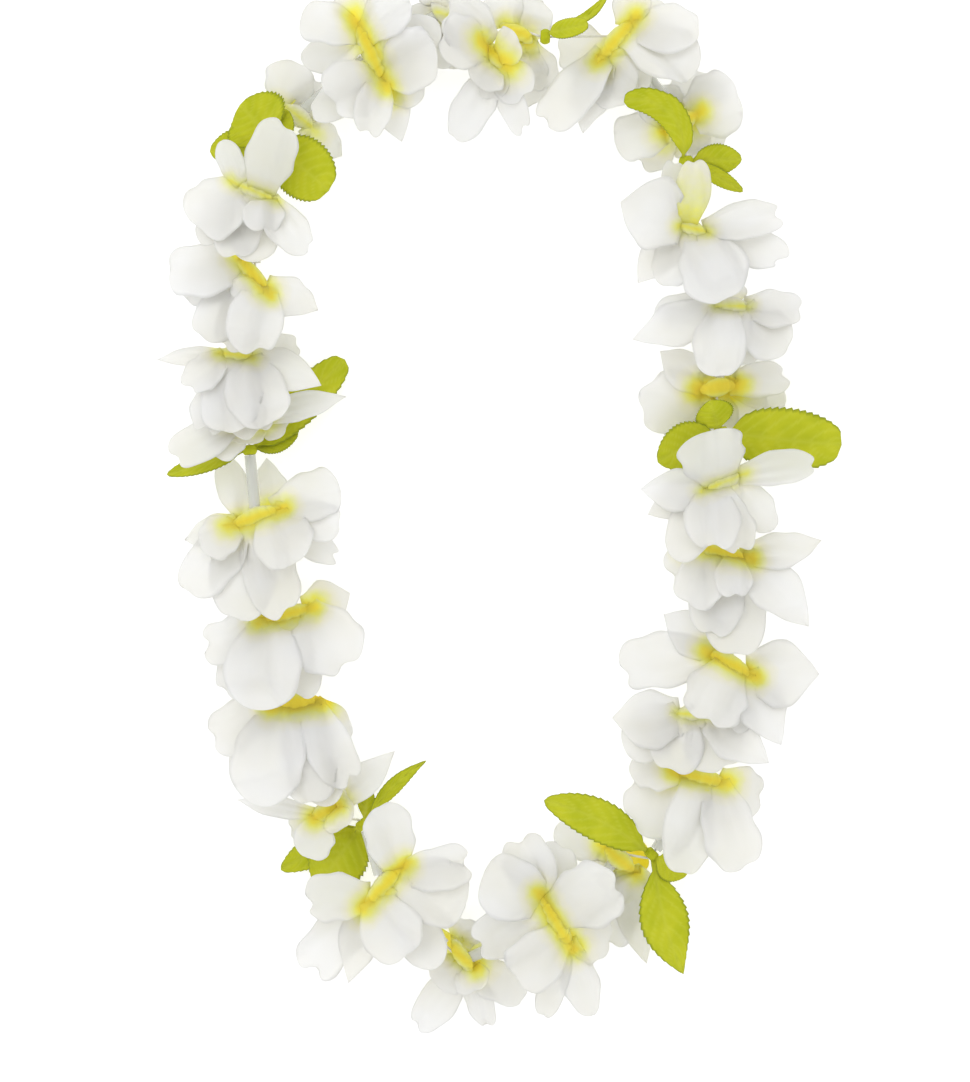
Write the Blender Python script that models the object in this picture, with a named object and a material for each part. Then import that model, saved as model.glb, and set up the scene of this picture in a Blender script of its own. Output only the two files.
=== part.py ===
"""Flower lei: cloth blooms, leaf sprays and straw spacers threaded on one closed string.

Metres, +Z up. The lei lies flat, its long way along Y, on the surface z = 0.
"""
import math
import random

import bmesh
import bpy
from mathutils import Vector

MM = 0.001

# Driving dimensions, in millimetres
STRING_HEIGHT = 18.5
STRING_RADIUS = 0.6
KNOT_RADIUS = 1.3
HOLE_RADIUS = 1.2
HUB_LENGTH = 6.0
HUB_HALF_HEIGHT = 3.9
RING_LENGTH = 4.0
RING_RADIUS = 3.2
STRAW_RADIUS = 2.5
STRAW_WALL = 0.5
CLOTH = 1.2
GAP = 0.35
SCRAP = 4.0

# How the blooms lie over one another: each pair of neighbours is parted by a sloping plane
SLOPE = 0.58
PLANE_RISE = 5.0
PLANE_CLEARANCE = 0.9
STRAW_CLEARANCE = 5.4
STRAW_HALF_LANE = 3.6

# Counts of flats
STRAW_SIDES = 6
HUB_SIDES = 6
STRING_SIDES = 5

PETAL_SECTIONS = (0.0, 0.24, 0.58, 0.9)
NARROW_SECTIONS = (0.0, 0.3, 0.8)
NARROW_WIDTH = 17
LEAF_TEETH = 5

# Blades of one bloom lie in four orders: two of the back layer, then two of the front one
FRONT_ORDER = 2
TOP_ORDER = 3
LAYER_STEP = 2.2
FOLD_STEP = 1.5
ROOT_STEP = 0.8
ROOT_LIFT = 2.3
ROOT_ROOM = 2.8
RING_ROOT = 0.65

# Blades start spread along the throat, short of its ends, and a little out from their middle
THROAT_END = 5.0
LEAST_SPREAD = 4.0
MOST_SPREAD = 12.0
RING_SPREAD = 0.8
SPREAD_EASE = 0.6
ROOT_AHEAD = 1.0

# A bloom's middle reaches past its outer roots, and turns at most so many degrees with the throat
HUB_END = 4.0
MOST_SKEW = 35

# A blade climbs over a lower neighbour, or sinks below a higher one, out to this distance
CLIMB_REACH = 26.0
CLIMB_START = 5.0
LANE_FADE = 6.0

# Lowest and highest values of the small differences between blades: heights in mm, bends in degrees
FRONT_ARCH = (1.0, 2.5)
BACK_ARCH = (-2.0, -0.5)
FRONT_TIP = (-4.0, 2.0)
BACK_TIP = (-18.0, -13.0)
TIP_PLAY = 1.0
PETAL_CUP = (0.3, 1.6)
CUP_PLAY = 0.2
PETAL_BANK = (0.0, 0.04)
PETAL_BEND = (-14.0, 14.0)
LEAF_ARCH = (1.0, 3.0)
LEAF_TIP = (-3.0, 1.0)
LEAF_CUP = (1.0, 3.0)
LEAF_BANK = 0.05
LEAST_BEND = 0.5
CUP_HALF_WIDTH = 12.0

# A petal's foot as a share of its width, and where along its length it is full and widest
PETAL_FOOT = 0.2
PETAL_FULL = 0.55
PETAL_WIDEST = 0.5

# A leaf's stalk and its row of teeth, as shares of its length. The widest place of a leaf moves
# towards its tip as its lean falls below one.
STALK_SHARE = 0.08
STALK_WIDTH = 0.12
STALK_END = 0.12
LEAF_LEAN = 0.9
TEETH_START = 0.2
TEETH_LENGTH = 0.74
TOOTH_POINT = 0.7
NOTCH_LENGTH = 0.02
NOTCH_DEPTH = 0.14

# The knot swells and thins along the string over these lengths
KNOT_HALF_LENGTH = 1.0
KNOT_TAPER = 1.0

SHARP_ANGLE = 50

WHITE_CLOTH = (0.93, 0.93, 0.89, 1.0)
GREEN_CLOTH = (0.36, 0.47, 0.05, 1.0)
CLEAR_STRAW = (0.86, 0.90, 0.86, 1.0)
STRING_COLOUR = (0.88, 0.87, 0.80, 1.0)
CLOTH_ROUGHNESS = 0.85
STRAW_ROUGHNESS = 0.25

# Petal outlines: the two powers by which the half width falls off past its widest place
ROUND = (2.4, 0.5)
SQUARE = (5.0, 0.5)
POINTED = (1.5, 1.0)

# Leaf outlines: the power of the sine that gives the half width
OVAL = 0.6
BLUNT = 0.35
SHARP = 1.0

# Stations round the string, counter-clockwise from the top left.
# Each has a kind, the two ends of its throat in mm (a spray's are the same spot), whether it lies
# over the next one (+1) or under it (-1), its front blades and its back ones. A petal is the x and y
# of its tip, its width and its outline. A leaf is its bearing in degrees, reach, width, bend and
# outline.
BLOOM = "bloom"
SPRAY = "leaf_spray"

STATIONS = (
    (BLOOM, (-64, 214), (-49, 181), +1,
     ((-73, 171, 26, ROUND), (-57, 158, 16, ROUND), (-27, 194, 27, ROUND), (-40, 218, 21, ROUND),
      (-86, 211, 20, SQUARE), (-66, 227, 18, ROUND)),
     ((-43, 159, 16, POINTED), (-33, 179, 18, ROUND), (-86, 193, 17, ROUND),
      (-81, 167, 16, ROUND), (-27, 208, 20, ROUND))),
    (BLOOM, (-96, 176), (-81, 165), -1,
     ((-90, 196, 21, ROUND), (-73, 182, 15, ROUND)),
     ((-70, 156, 17, POINTED), (-104, 184, 17, ROUND), (-79, 190, 18, ROUND))),
    (SPRAY, (-99, 157), (-99, 157), -1,
     ((128, 22, 31, 20, OVAL), (181, 28, 17, 0, OVAL), (322, 31, 26, -10, BLUNT),
      (64, 16, 14, 0, OVAL)), ()),
    (BLOOM, (-117, 142), (-96, 133), +1,
     ((-92, 165, 22, ROUND), (-120, 158, 12, ROUND), (-131, 121, 28, SQUARE),
      (-82, 110, 17, ROUND), (-102, 118, 18, ROUND)),
     ((-127, 112, 22, ROUND), (-108, 106, 22, ROUND), (-117, 107, 20, ROUND))),
    (BLOOM, (-114, 110), (-100, 93), +1,
     ((-144, 102, 25, SQUARE), (-113, 89, 16, ROUND), (-79, 86, 18, POINTED),
      (-106, 65, 24, ROUND)),
     ((-130, 74, 23, ROUND), (-137, 91, 18, ROUND), (-119, 68, 22, ROUND))),
    (BLOOM, (-122, 68), (-107, 66), +1,
     ((-149, 65, 9, POINTED), (-136, 52, 16, ROUND), (-118, 32, 27, ROUND), (-97, 36, 27, ROUND),
      (-77, 53, 19, POINTED)),
     ((-127, 31, 20, ROUND), (-106, 29, 22, ROUND), (-87, 72, 16, ROUND))),
    (BLOOM, (-115, 39), (-103, 39), +1,
     ((-67, 49, 13, POINTED), (-141, 22, 18, SQUARE)),
     ((-92, 35, 14, ROUND), (-124, 23, 16, ROUND), (-109, 28, 17, ROUND))),
    (SPRAY, (-109, 26), (-109, 26), +1,
     ((45, 57, 19, 0, BLUNT), (20, 22, 12, -10, OVAL), (197, 37, 9, 0, OVAL)), ()),
    (BLOOM, (-118, -7), (-94, 1), +1,
     ((-70, 10, 22, SQUARE), (-69, -8, 17, SQUARE), (-130, -16, 19, ROUND), (-87, -23, 26, ROUND),
      (-121, 23, 14, ROUND)),
     ((-138, -13, 16, POINTED), (-137, -35, 24, ROUND), (-111, -48, 30, ROUND),
      (-93, -47, 24, ROUND), (-69, -22, 13, ROUND), (-103, 23, 16, POINTED))),
    (BLOOM, (-105, -48), (-81, -42), +1,
     ((-63, -67, 29, ROUND), (-105, -85, 34, ROUND), (-129, -61, 19, SQUARE)),
     ((-85, -82, 26, ROUND), (-119, -80, 23, ROUND), (-72, -56, 18, ROUND),
      (-66, -36, 22, POINTED))),
    (BLOOM, (-99, -84), (-77, -82), +1,
     ((-125, -101, 21, SQUARE), (-104, -126, 32, ROUND), (-82, -126, 25, ROUND),
      (-63, -118, 20, ROUND)),
     ((-115, -115, 20, ROUND), (-73, -126, 22, ROUND), (-66, -100, 18, ROUND))),
    (BLOOM, (-81, -133), (-70, -127), +1,
     ((-115, -126, 9, POINTED), (-85, -150, 18, ROUND), (-67, -136, 15, ROUND),
      (-65, -123, 15, ROUND)),
     ((-46, -104, 14, POINTED), (-92, -141, 13, ROUND))),
    (SPRAY, (-60, -136), (-60, -136), -1,
     ((235, 36, 27, 0, OVAL), (211, 43, 15, 0, OVAL), (45, 39, 7, -28, SHARP), (84, 17, 8, 0, OVAL)), ()),
    (BLOOM, (-60, -172), (-41, -152), +1,
     ((-49, -124, 21, ROUND), (-13, -149, 19, SQUARE), (-15, -168, 28, SQUARE),
      (-85, -167, 22, SQUARE), (-40, -191, 28, ROUND)),
     ((-85, -202, 22, SQUARE), (-66, -204, 18, POINTED), (-27, -195, 22, ROUND))),
    (BLOOM, (-23, -188), (-11, -198), -1,
     ((-29, -206, 17, ROUND), (-14, -178, 16, SQUARE), (-10, -208, 16, ROUND)),
     ((-37, -229, 17, ROUND), (-5, -228, 12, ROUND), (10, -216, 17, ROUND), (1, -184, 18, ROUND),
      (-40, -194, 17, ROUND))),
    (BLOOM, (16, -165), (31, -190), +1,
     ((-8, -156, 27, SQUARE), (8, -139, 22, SQUARE), (6, -201, 25, SQUARE), (51, -158, 29, ROUND)),
     ((18, -219, 14, ROUND), (40, -220, 16, ROUND), (48, -186, 23, ROUND), (24, -142, 21, ROUND),
      (-12, -188, 23, ROUND))),
    (BLOOM, (44, -145), (58, -157), -1,
     ((24, -137, 17, ROUND), (38, -171, 24, ROUND), (60, -171, 18, ROUND)),
     ((44, -192, 24, SQUARE), (64, -199, 17, POINTED), (65, -150, 14, ROUND))),
    (SPRAY, (65, -149), (65, -149), -1,
     ((151, 54, 18, 26, OVAL), (285, 54, 22, 20, SHARP), (330, 18, 14, 0, OVAL)), ()),
    (BLOOM, (74, -113), (98, -118), -1,
     ((55, -111, 16, ROUND), (77, -156, 23, ROUND), (104, -154, 24, SQUARE)),
     ((55, -135, 28, ROUND), (114, -128, 23, ROUND), (91, -142, 20, ROUND))),
    (BLOOM, (76, -88), (89, -88), -1,
     ((48, -90, 26, POINTED), (114, -108, 21, POINTED)),
     ((54, -105, 22, ROUND), (70, -112, 23, ROUND), (95, -112, 26, ROUND))),
    (BLOOM, (88, -61), (110, -72), -1,
     ((50, -68, 23, SQUARE), (120, -101, 22, POINTED), (137, -71, 30, POINTED),
      (70, -45, 20, POINTED), (87, -92, 28, ROUND)),
     ((129, -79, 23, ROUND), (98, -96, 23, ROUND), (99, -48, 18, ROUND))),
    (BLOOM, (83, -15), (108, -21), -1,
     ((139, -13, 16, POINTED), (99, -38, 17, ROUND), (131, -50, 22, POINTED),
      (80, -41, 20, SQUARE)),
     ((102, -63, 29, ROUND), (89, -55, 23, ROUND), (72, -27, 18, ROUND), (123, -32, 18, ROUND))),
    (BLOOM, (86, 8), (106, 16), +1,
     ((87, 33, 28, SQUARE), (136, 19, 15, ROUND), (60, 9, 19, POINTED), (89, -18, 24, ROUND),
      (104, -19, 19, ROUND)),
     ((63, -2, 18, POINTED), (116, -9, 17, ROUND), (75, -22, 20, ROUND))),
    (SPRAY, (95, 34), (95, 34), +1,
     ((206, 30, 21, 10, OVAL), (115, 14, 17, 0, OVAL), (354, 53, 27, 6, BLUNT)), ()),
    (BLOOM, (85, 52), (102, 54), -1,
     ((61, 39, 26, ROUND), (126, 57, 16, ROUND), (69, 69, 19, POINTED), (93, 68, 18, ROUND)),
     ((125, 47, 14, ROUND), (72, 32, 21, ROUND), (114, 35, 22, ROUND), (93, 31, 23, ROUND))),
    (BLOOM, (93, 88), (107, 88), -1,
     ((56, 73, 20, POINTED), (131, 87, 17, ROUND), (90, 56, 23, ROUND), (123, 68, 23, ROUND)),
     ((96, 100, 21, ROUND), (66, 83, 17, ROUND), (125, 77, 18, ROUND), (102, 62, 25, ROUND))),
    (BLOOM, (77, 123), (89, 120), +1,
     ((51, 132, 31, POINTED), (122, 126, 17, ROUND), (94, 88, 29, ROUND), (82, 150, 15, ROUND)),
     ((59, 98, 17, POINTED), (123, 107, 19, ROUND), (70, 96, 18, ROUND), (98, 96, 25, ROUND),
      (72, 150, 12, ROUND))),
    (SPRAY, (80, 151), (80, 151), +1,
     ((141, 36, 12, 112, BLUNT), (2, 24, 13, 0, OVAL), (334, 28, 7, 0, OVAL)), ()),
    (BLOOM, (70, 164), (86, 172), -1,
     ((103, 179, 30, ROUND), (50, 159, 21, SQUARE), (64, 184, 21, ROUND), (86, 192, 26, ROUND)),
     ((96, 158, 21, ROUND), (86, 156, 18, ROUND), (60, 152, 18, ROUND))),
    (BLOOM, (58, 213), (42, 194), -1,
     ((85, 205, 23, ROUND), (19, 165, 21, SQUARE), (82, 185, 26, ROUND), (60, 227, 17, ROUND),
      (24, 201, 24, ROUND)),
     ((35, 162, 18, POINTED), (48, 172, 21, ROUND), (60, 178, 23, ROUND), (74, 217, 18, ROUND))),
    (SPRAY, (19, 205), (19, 205), +1,
     ((8, 18, 9, 16, BLUNT), (33, 33, 5, 60, SHARP)), ()),
    (BLOOM, (2, 208), (11, 205), -1,
     ((-1, 225, 18, ROUND), (19, 221, 17, ROUND)),
     ((12, 177, 20, ROUND), (22, 184, 16, ROUND))),
    (BLOOM, (-9, 201), (3, 192), +1,
     ((-10, 183, 17, ROUND), (-24, 214, 23, ROUND), (-27, 200, 21, ROUND), (8, 200, 15, ROUND)),
     ((-21, 161, 17, ROUND), (10, 163, 12, ROUND), (-6, 178, 14, ROUND), (11, 178, 18, ROUND))),
    (BLOOM, (-28, 215), (-22, 213), -1,
     ((-28, 226, 18, ROUND), (-41, 207, 19, ROUND), (-32, 195, 21, ROUND), (-14, 208, 20, ROUND)),
     ((-21, 194, 22, ROUND), (-40, 199, 19, ROUND), (-11, 219, 18, ROUND))),
)

# Pairs of neighbours with bare string between them
BARE_AFTER = (2, 6, 11, 16, 19, 23, 27, 29, 30, 31)


def remove_all():
    """Start from an empty scene."""
    for old in list(bpy.data.objects):
        bpy.data.objects.remove(old, do_unlink=True)


def plain_material(name, colour, roughness):
    """A matt or glossy material of one colour."""
    material = bpy.data.materials.new(name)
    material.use_nodes = True
    shader = material.node_tree.nodes["Principled BSDF"]
    shader.inputs["Base Color"].default_value = colour
    shader.inputs["Roughness"].default_value = roughness
    shader.inputs["Metallic"].default_value = 0.0
    return material


def throat(index):
    """The two ends of a station's throat, seen from above."""
    _, first, second = STATIONS[index % len(STATIONS)][:3]
    return Vector(first), Vector(second)


def place(index):
    """Where a station is, seen from above."""
    first, second = throat(index)
    return (first + second) / 2


def over_next(index):
    """Whether a station lies over the next one (+1) or under it (-1)."""
    return STATIONS[index % len(STATIONS)][3]


def heading(index):
    """Direction of the string through a station."""
    return (place(index + 1) - place(index - 1)).normalized()


def fold_line(index):
    """Direction of a station's middle: along its throat, or square to the string at a spray."""
    aim = heading(index)
    square = Vector((-aim.y, aim.x))
    first, second = throat(index)
    fold = second - first
    if fold.length == 0:
        return square
    if fold.dot(square) < 0:
        fold = -fold
    limit = math.radians(MOST_SKEW)
    turn = math.atan2(fold.dot(-aim), fold.dot(square))
    turn = min(limit, max(-limit, turn))
    return square * math.cos(turn) - aim * math.sin(turn)


def face_aim(index):
    """Direction square to the end faces of a station's middle."""
    fold = fold_line(index)
    return Vector((fold.y, -fold.x))


def root_spread(index):
    """How far from its middle a station's blades start, along its throat."""
    first, second = throat(index)
    half = (second - first).length / 2
    if half == 0:
        return RING_SPREAD
    return min(MOST_SPREAD, max(LEAST_SPREAD, half - THROAT_END))


def half_length(index):
    """Half the length of a station's middle along the string."""
    kind = STATIONS[index % len(STATIONS)][0]
    return (HUB_LENGTH if kind == BLOOM else RING_LENGTH) / 2


def string_ends(index):
    """Where the string enters and leaves the middle of a station."""
    reach = half_length(index) + GAP
    return place(index) - heading(index) * reach, place(index) + heading(index) * reach


def smooth_step(low, high, value):
    """Zero below the low value, one above the high value, eased between them."""
    u = min(1.0, max(0.0, (value - low) / (high - low)))
    return u * u * (3 - 2 * u)


def dividing_plane(index, spot):
    """Height at a spot of the plane between a station and the next one."""
    first = place(index)
    second = place(index + 1)
    along = (second - first).normalized()
    over = over_next(index)
    return STRING_HEIGHT + PLANE_RISE + SLOPE * over * (spot - (first + second) / 2).dot(along)


def kept_in_cell(index, spot, height, order, floor):
    """Keep a blade on its own side of both dividing planes, off the straws and above the floor."""
    from_below = order * FOLD_STEP
    from_above = (TOP_ORDER - order) * FOLD_STEP
    centre = place(index)
    for other, pair, side in ((index + 1, index, 1), (index - 1, index - 1, -1)):
        over = over_next(pair) * side
        toward = (place(other) - centre).normalized()
        away = (spot - centre).dot(toward)
        lane = abs((spot - centre).cross(toward))
        if away > 0 and lane < STRAW_HALF_LANE + STRAW_CLEARANCE:
            clear = STRAW_CLEARANCE - max(0.0, lane - STRAW_HALF_LANE)
            if over > 0:
                height = max(height, STRING_HEIGHT + clear + from_below)
            else:
                height = min(height, STRING_HEIGHT - clear - from_above)
    for pair, side in ((index, 1), (index - 1, -1)):
        over = over_next(pair) * side
        limit = dividing_plane(pair, spot) + over * PLANE_CLEARANCE
        if over > 0:
            height = max(height, limit + from_below)
        else:
            height = min(height, limit - from_above)
    return max(height, floor + from_below)


def lie_of_blade(index, spot):
    """Height of the cloth at a spot: up over a lower neighbour, down below a higher one."""
    centre = place(index)
    height = STRING_HEIGHT
    for other, pair, side in ((index + 1, index, 1), (index - 1, index - 1, -1)):
        toward = (place(other) - centre).normalized()
        over = over_next(pair) * side
        away = max(0.0, (spot - centre).dot(toward))
        height += over * SLOPE * min(away, CLIMB_REACH)
        lane = abs((spot - centre).cross(toward))
        lift = STRAW_CLEARANCE * (1 - smooth_step(STRAW_HALF_LANE, STRAW_HALF_LANE + LANE_FADE, lane))
        height += over * lift * smooth_step(0.0, CLIMB_START, away)
    return height


def petal_outline(s, form):
    """Half width of a petal along its length, as a share of the widest place."""
    fall, fullness = form
    swell = PETAL_FOOT + (1 - PETAL_FOOT) * smooth_step(0.0, PETAL_FULL, s)
    past = max(0.0, (s - PETAL_WIDEST) / (1 - PETAL_WIDEST))
    return swell * max(0.0, 1 - past ** fall) ** fullness


def leaf_outline(s, fullness):
    """Half width of a leaf along its length, with a short stalk at its foot."""
    blade = min(1.0, max(0.0, (s - STALK_SHARE) / (1 - STALK_SHARE)))
    return max(STALK_WIDTH * (1 - s), math.sin(math.pi * blade ** LEAF_LEAN) ** fullness)


def petal_style(index, number, layer):
    """The small differences between petals: arch, tip, cup, bank and sideways bend."""
    shared = random.Random(100 * index + layer)
    draw = random.Random(1000 * index + 10 * number + layer)
    arch = shared.uniform(*(BACK_ARCH if layer else FRONT_ARCH))
    tip = shared.uniform(*(BACK_TIP if layer else FRONT_TIP)) + draw.uniform(-TIP_PLAY, TIP_PLAY)
    cup = shared.uniform(*PETAL_CUP) + draw.uniform(-CUP_PLAY, CUP_PLAY)
    bank = draw.uniform(*PETAL_BANK)
    bend = draw.uniform(*PETAL_BEND)
    return arch, tip, cup, bank, bend


def leaf_style(index, number, bend):
    """The small differences between leaves. Their bend is read from the station."""
    draw = random.Random(500 + 10 * index + number)
    arch = draw.uniform(*LEAF_ARCH)
    tip = draw.uniform(*LEAF_TIP)
    cup = draw.uniform(*LEAF_CUP)
    return arch, tip, cup, LEAF_BANK, bend


def root_offset(index, tip):
    """How far along its throat a blade starts: further out, the further aside its tip lies."""
    aside = (tip - place(index)).dot(fold_line(index))
    spread = root_spread(index)
    return spread * aside / (SPREAD_EASE * spread + abs(aside))


def centre_line(index, tip, bend, s):
    """Plan position and direction at a share s of the blade's length, along an arc."""
    aim = (tip - place(index)).normalized()
    root = place(index) + fold_line(index) * root_offset(index, tip) + aim * ROOT_AHEAD
    chord = tip - root
    turn = math.radians(bend if abs(bend) > LEAST_BEND else LEAST_BEND)
    now = turn * (s - 0.5)
    along = (math.sin(now) + math.sin(turn / 2)) / (2 * math.sin(turn / 2))
    sideways = (math.cos(turn / 2) - math.cos(now)) / (2 * math.sin(turn / 2))
    spot = root + chord * along + Vector((-chord.y, chord.x)) * sideways
    straight = chord.normalized()
    course = math.atan2(straight.y, straight.x) + now
    return spot, Vector((math.cos(course), math.sin(course)))


def root_height(index, order, tip):
    """A blade leaves its middle above or below the hole, or straight out of its side."""
    ahead = (tip - place(index)).normalized().dot(heading(index))
    over = over_next(index) if ahead > 0 else -over_next(index - 1)
    share = over * smooth_step(0.25, 0.85, abs(ahead))
    step = ROOT_STEP if order >= FRONT_ORDER else -ROOT_STEP
    if step * share < 0:
        step *= 1 - abs(share)
    if STATIONS[index][0] == SPRAY:
        return STRING_HEIGHT + (ROOT_LIFT * share + step) * RING_ROOT
    outward = root_offset(index, tip) / (root_spread(index) + HUB_END)
    room = ROOT_ROOM * math.sqrt(1 - outward * outward)
    return STRING_HEIGHT + min(room, max(-room, ROOT_LIFT * share + step))


def blade_height(index, spot, s, w, half, style, order):
    """Height of a blade past its root, at a share s of its length and w of its half width."""
    arch, tip, cup, bank, _ = style
    shape = arch * math.sin(math.pi * s) + tip * s * s
    shape += cup * w * w * half / CUP_HALF_WIDTH + bank * w * half
    shape += (order - FRONT_ORDER) * LAYER_STEP * smooth_step(0.0, 0.3, s)
    floor = CLOTH / 2 if w == 0 else 0.0
    return kept_in_cell(index, spot, lie_of_blade(index, spot) + shape, order, floor)


def blade_mesh(name, sections, tip):
    """A thin blade: each section is an edge, a raised middle, an edge and a lowered middle."""
    bm = bmesh.new()
    rings = []
    for left, middle, right in sections:
        up = Vector((0, 0, CLOTH / 2))
        ring = [bm.verts.new(point * MM) for point in (left, middle + up, right, middle - up)]
        rings.append(ring)
    for near, far in zip(rings, rings[1:]):
        for corner in range(4):
            after = (corner + 1) % 4
            quad = (near[corner], near[after], far[after], far[corner])
            if corner in (0, 2):
                bm.faces.new((quad[0], quad[1], quad[2]))
                bm.faces.new((quad[0], quad[2], quad[3]))
            else:
                bm.faces.new((quad[0], quad[1], quad[3]))
                bm.faces.new((quad[1], quad[2], quad[3]))
    end = bm.verts.new(tip * MM)
    for corner in range(4):
        after = (corner + 1) % 4
        bm.faces.new((rings[-1][corner], rings[-1][after], end))
    first = rings[0]
    bm.faces.new((first[0], first[3], first[2]))
    bm.faces.new((first[0], first[2], first[1]))
    bmesh.ops.recalc_face_normals(bm, faces=bm.faces)
    mesh = bpy.data.meshes.new(name)
    bm.to_mesh(mesh)
    bm.free()
    return mesh


def blade(index, name, tip, width, style, order, sections):
    """One petal or leaf from its root on the string to its tip. A section has its half width's share."""
    start = root_height(index, order, tip)
    rows = []
    for s, share in sections:
        middle, aim = centre_line(index, tip, style[4], s)
        side = Vector((-aim.y, aim.x))
        half = width / 2 * share
        row = []
        for w in (1, 0, -1):
            spot = middle + side * (w * half)
            height = start if s == 0 else blade_height(index, spot, s, w, half, style, order)
            row.append(Vector((spot.x, spot.y, height)))
        rows.append(row)
    middle, _ = centre_line(index, tip, style[4], 1.0)
    height = blade_height(index, middle, 1.0, 0, 0, style, order)
    return blade_mesh(name, rows, Vector((middle.x, middle.y, height)))


def closed_sweep(name, loops):
    """A body skinned over loops of points in mm. The last loop joins the first one."""
    bm = bmesh.new()
    rings = [[bm.verts.new(point * MM) for point in loop] for loop in loops]
    for number, near in enumerate(rings):
        far = rings[(number + 1) % len(rings)]
        for side in range(len(near)):
            after = (side + 1) % len(near)
            bm.faces.new((near[side], near[after], far[after], far[side]))
    bmesh.ops.recalc_face_normals(bm, faces=bm.faces)
    mesh = bpy.data.meshes.new(name)
    bm.to_mesh(mesh)
    bm.free()
    return mesh


def cross_section(spot, aim, half_width, half_height, sides, start):
    """Points of an upright oval section, square to the aim seen from above."""
    across = Vector((-aim.y, aim.x, 0))
    centre = Vector((spot.x, spot.y, STRING_HEIGHT))
    loop = []
    for side in range(sides):
        angle = 2 * math.pi * (side + start) / sides
        up = Vector((0, 0, half_height * math.sin(angle)))
        loop.append(centre + across * (half_width * math.cos(angle)) + up)
    return loop


def middle_mesh(index, name, length, half_width, half_height):
    """The gathered middle of a bloom, or the ring of a spray, with its hole for the string."""
    aim = face_aim(index)
    back = place(index) - heading(index) * (length / 2)
    front = place(index) + heading(index) * (length / 2)
    hole = HOLE_RADIUS / aim.dot(heading(index))
    return closed_sweep(name, (
        cross_section(back, aim, half_width, half_height, HUB_SIDES, 0.5),
        cross_section(front, aim, half_width, half_height, HUB_SIDES, 0.5),
        cross_section(front, aim, hole, HOLE_RADIUS, HUB_SIDES, 0.5),
        cross_section(back, aim, hole, HOLE_RADIUS, HUB_SIDES, 0.5),
    ))


def add_object(name, mesh, material, collection=None):
    """Put a mesh into the scene with its material."""
    mesh.materials.clear()
    mesh.materials.append(material)
    thing = bpy.data.objects.new(name, mesh)
    (collection or bpy.context.scene.collection).objects.link(thing)
    return thing


def without_scraps(mesh):
    """Fill the tiny hollows that a union can leave, and drop loose crumbs."""
    bm = bmesh.new()
    bm.from_mesh(mesh)
    waiting = set(bm.faces)
    scraps = []
    while waiting:
        shell = []
        reached = [waiting.pop()]
        while reached:
            face = reached.pop()
            shell.append(face)
            for edge in face.edges:
                for beside in edge.link_faces:
                    if beside in waiting:
                        waiting.discard(beside)
                        reached.append(beside)
        points = [vertex.co for face in shell for vertex in face.verts]
        spans = [max(p[axis] for p in points) - min(p[axis] for p in points) for axis in range(3)]
        if max(spans) < SCRAP * MM:
            scraps.extend(shell)
    bmesh.ops.delete(bm, geom=scraps, context="FACES")
    bm.to_mesh(mesh)
    bm.free()


def fused(name, middle, blades, material):
    """One body from a middle and its blades, by one union."""
    group = bpy.data.collections.new(name + "_blades")
    bpy.context.scene.collection.children.link(group)
    for number, mesh in enumerate(blades):
        add_object(name + "_blade_" + str(number), mesh, material, group)
    body = add_object(name, middle, material)
    union = body.modifiers.new("union", "BOOLEAN")
    union.operation = "UNION"
    union.solver = "EXACT"
    union.operand_type = "COLLECTION"
    union.collection = group
    seen = body.evaluated_get(bpy.context.evaluated_depsgraph_get())
    whole = bpy.data.meshes.new_from_object(seen)
    body.modifiers.remove(union)
    body.data = whole
    for spare in list(group.objects):
        bpy.data.objects.remove(spare, do_unlink=True)
    bpy.data.collections.remove(group)
    without_scraps(whole)
    whole.shade_smooth()
    whole.set_sharp_from_angle(angle=math.radians(SHARP_ANGLE))
    return body


def in_turn(index, petals):
    """Petals in the order of their bearings from the middle of their bloom."""
    centre = place(index)
    return sorted(petals, key=lambda petal: math.atan2(petal[1] - centre.y, petal[0] - centre.x))


def petal_orders(count, layer):
    """Depths of a layer's petals: neighbours differ, and the last of an odd number lies between."""
    orders = [rank % 2 for rank in range(count)]
    if count % 2 and count > 1:
        orders[-1] = 0.5
    return [order + (0 if layer else FRONT_ORDER) for order in orders]


def build_bloom(index, number, front, back, material):
    """A bloom: its gathered middle with a back layer and a front layer of petals."""
    name = "bloom_{:02d}".format(number)
    blades = []
    for layer, petals in enumerate((front, back)):
        orders = petal_orders(len(petals), layer)
        for rank, (x, y, width, form) in enumerate(in_turn(index, petals)):
            style = petal_style(index, rank, layer)
            order = orders[rank]
            shares = NARROW_SECTIONS if width < NARROW_WIDTH else PETAL_SECTIONS
            sections = tuple((s, petal_outline(s, form)) for s in shares)
            blades.append(blade(index, name, Vector((x, y)), width, style, order, sections))
    middle = middle_mesh(index, name, HUB_LENGTH, root_spread(index) + HUB_END, HUB_HALF_HEIGHT)
    return fused(name, middle, blades, material)


def leaf_sections(fullness):
    """The stalk, then a tooth and a notch again and again up to the tip."""
    sections = [(s, leaf_outline(s, fullness)) for s in (0.0, STALK_END)]
    for tooth in range(LEAF_TEETH):
        s = TEETH_START + TEETH_LENGTH * (tooth + TOOTH_POINT) / LEAF_TEETH
        notch = s + NOTCH_LENGTH
        sections.append((s, leaf_outline(s, fullness)))
        sections.append((notch, leaf_outline(notch, fullness) * (1 - NOTCH_DEPTH)))
    return tuple(sections)


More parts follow.
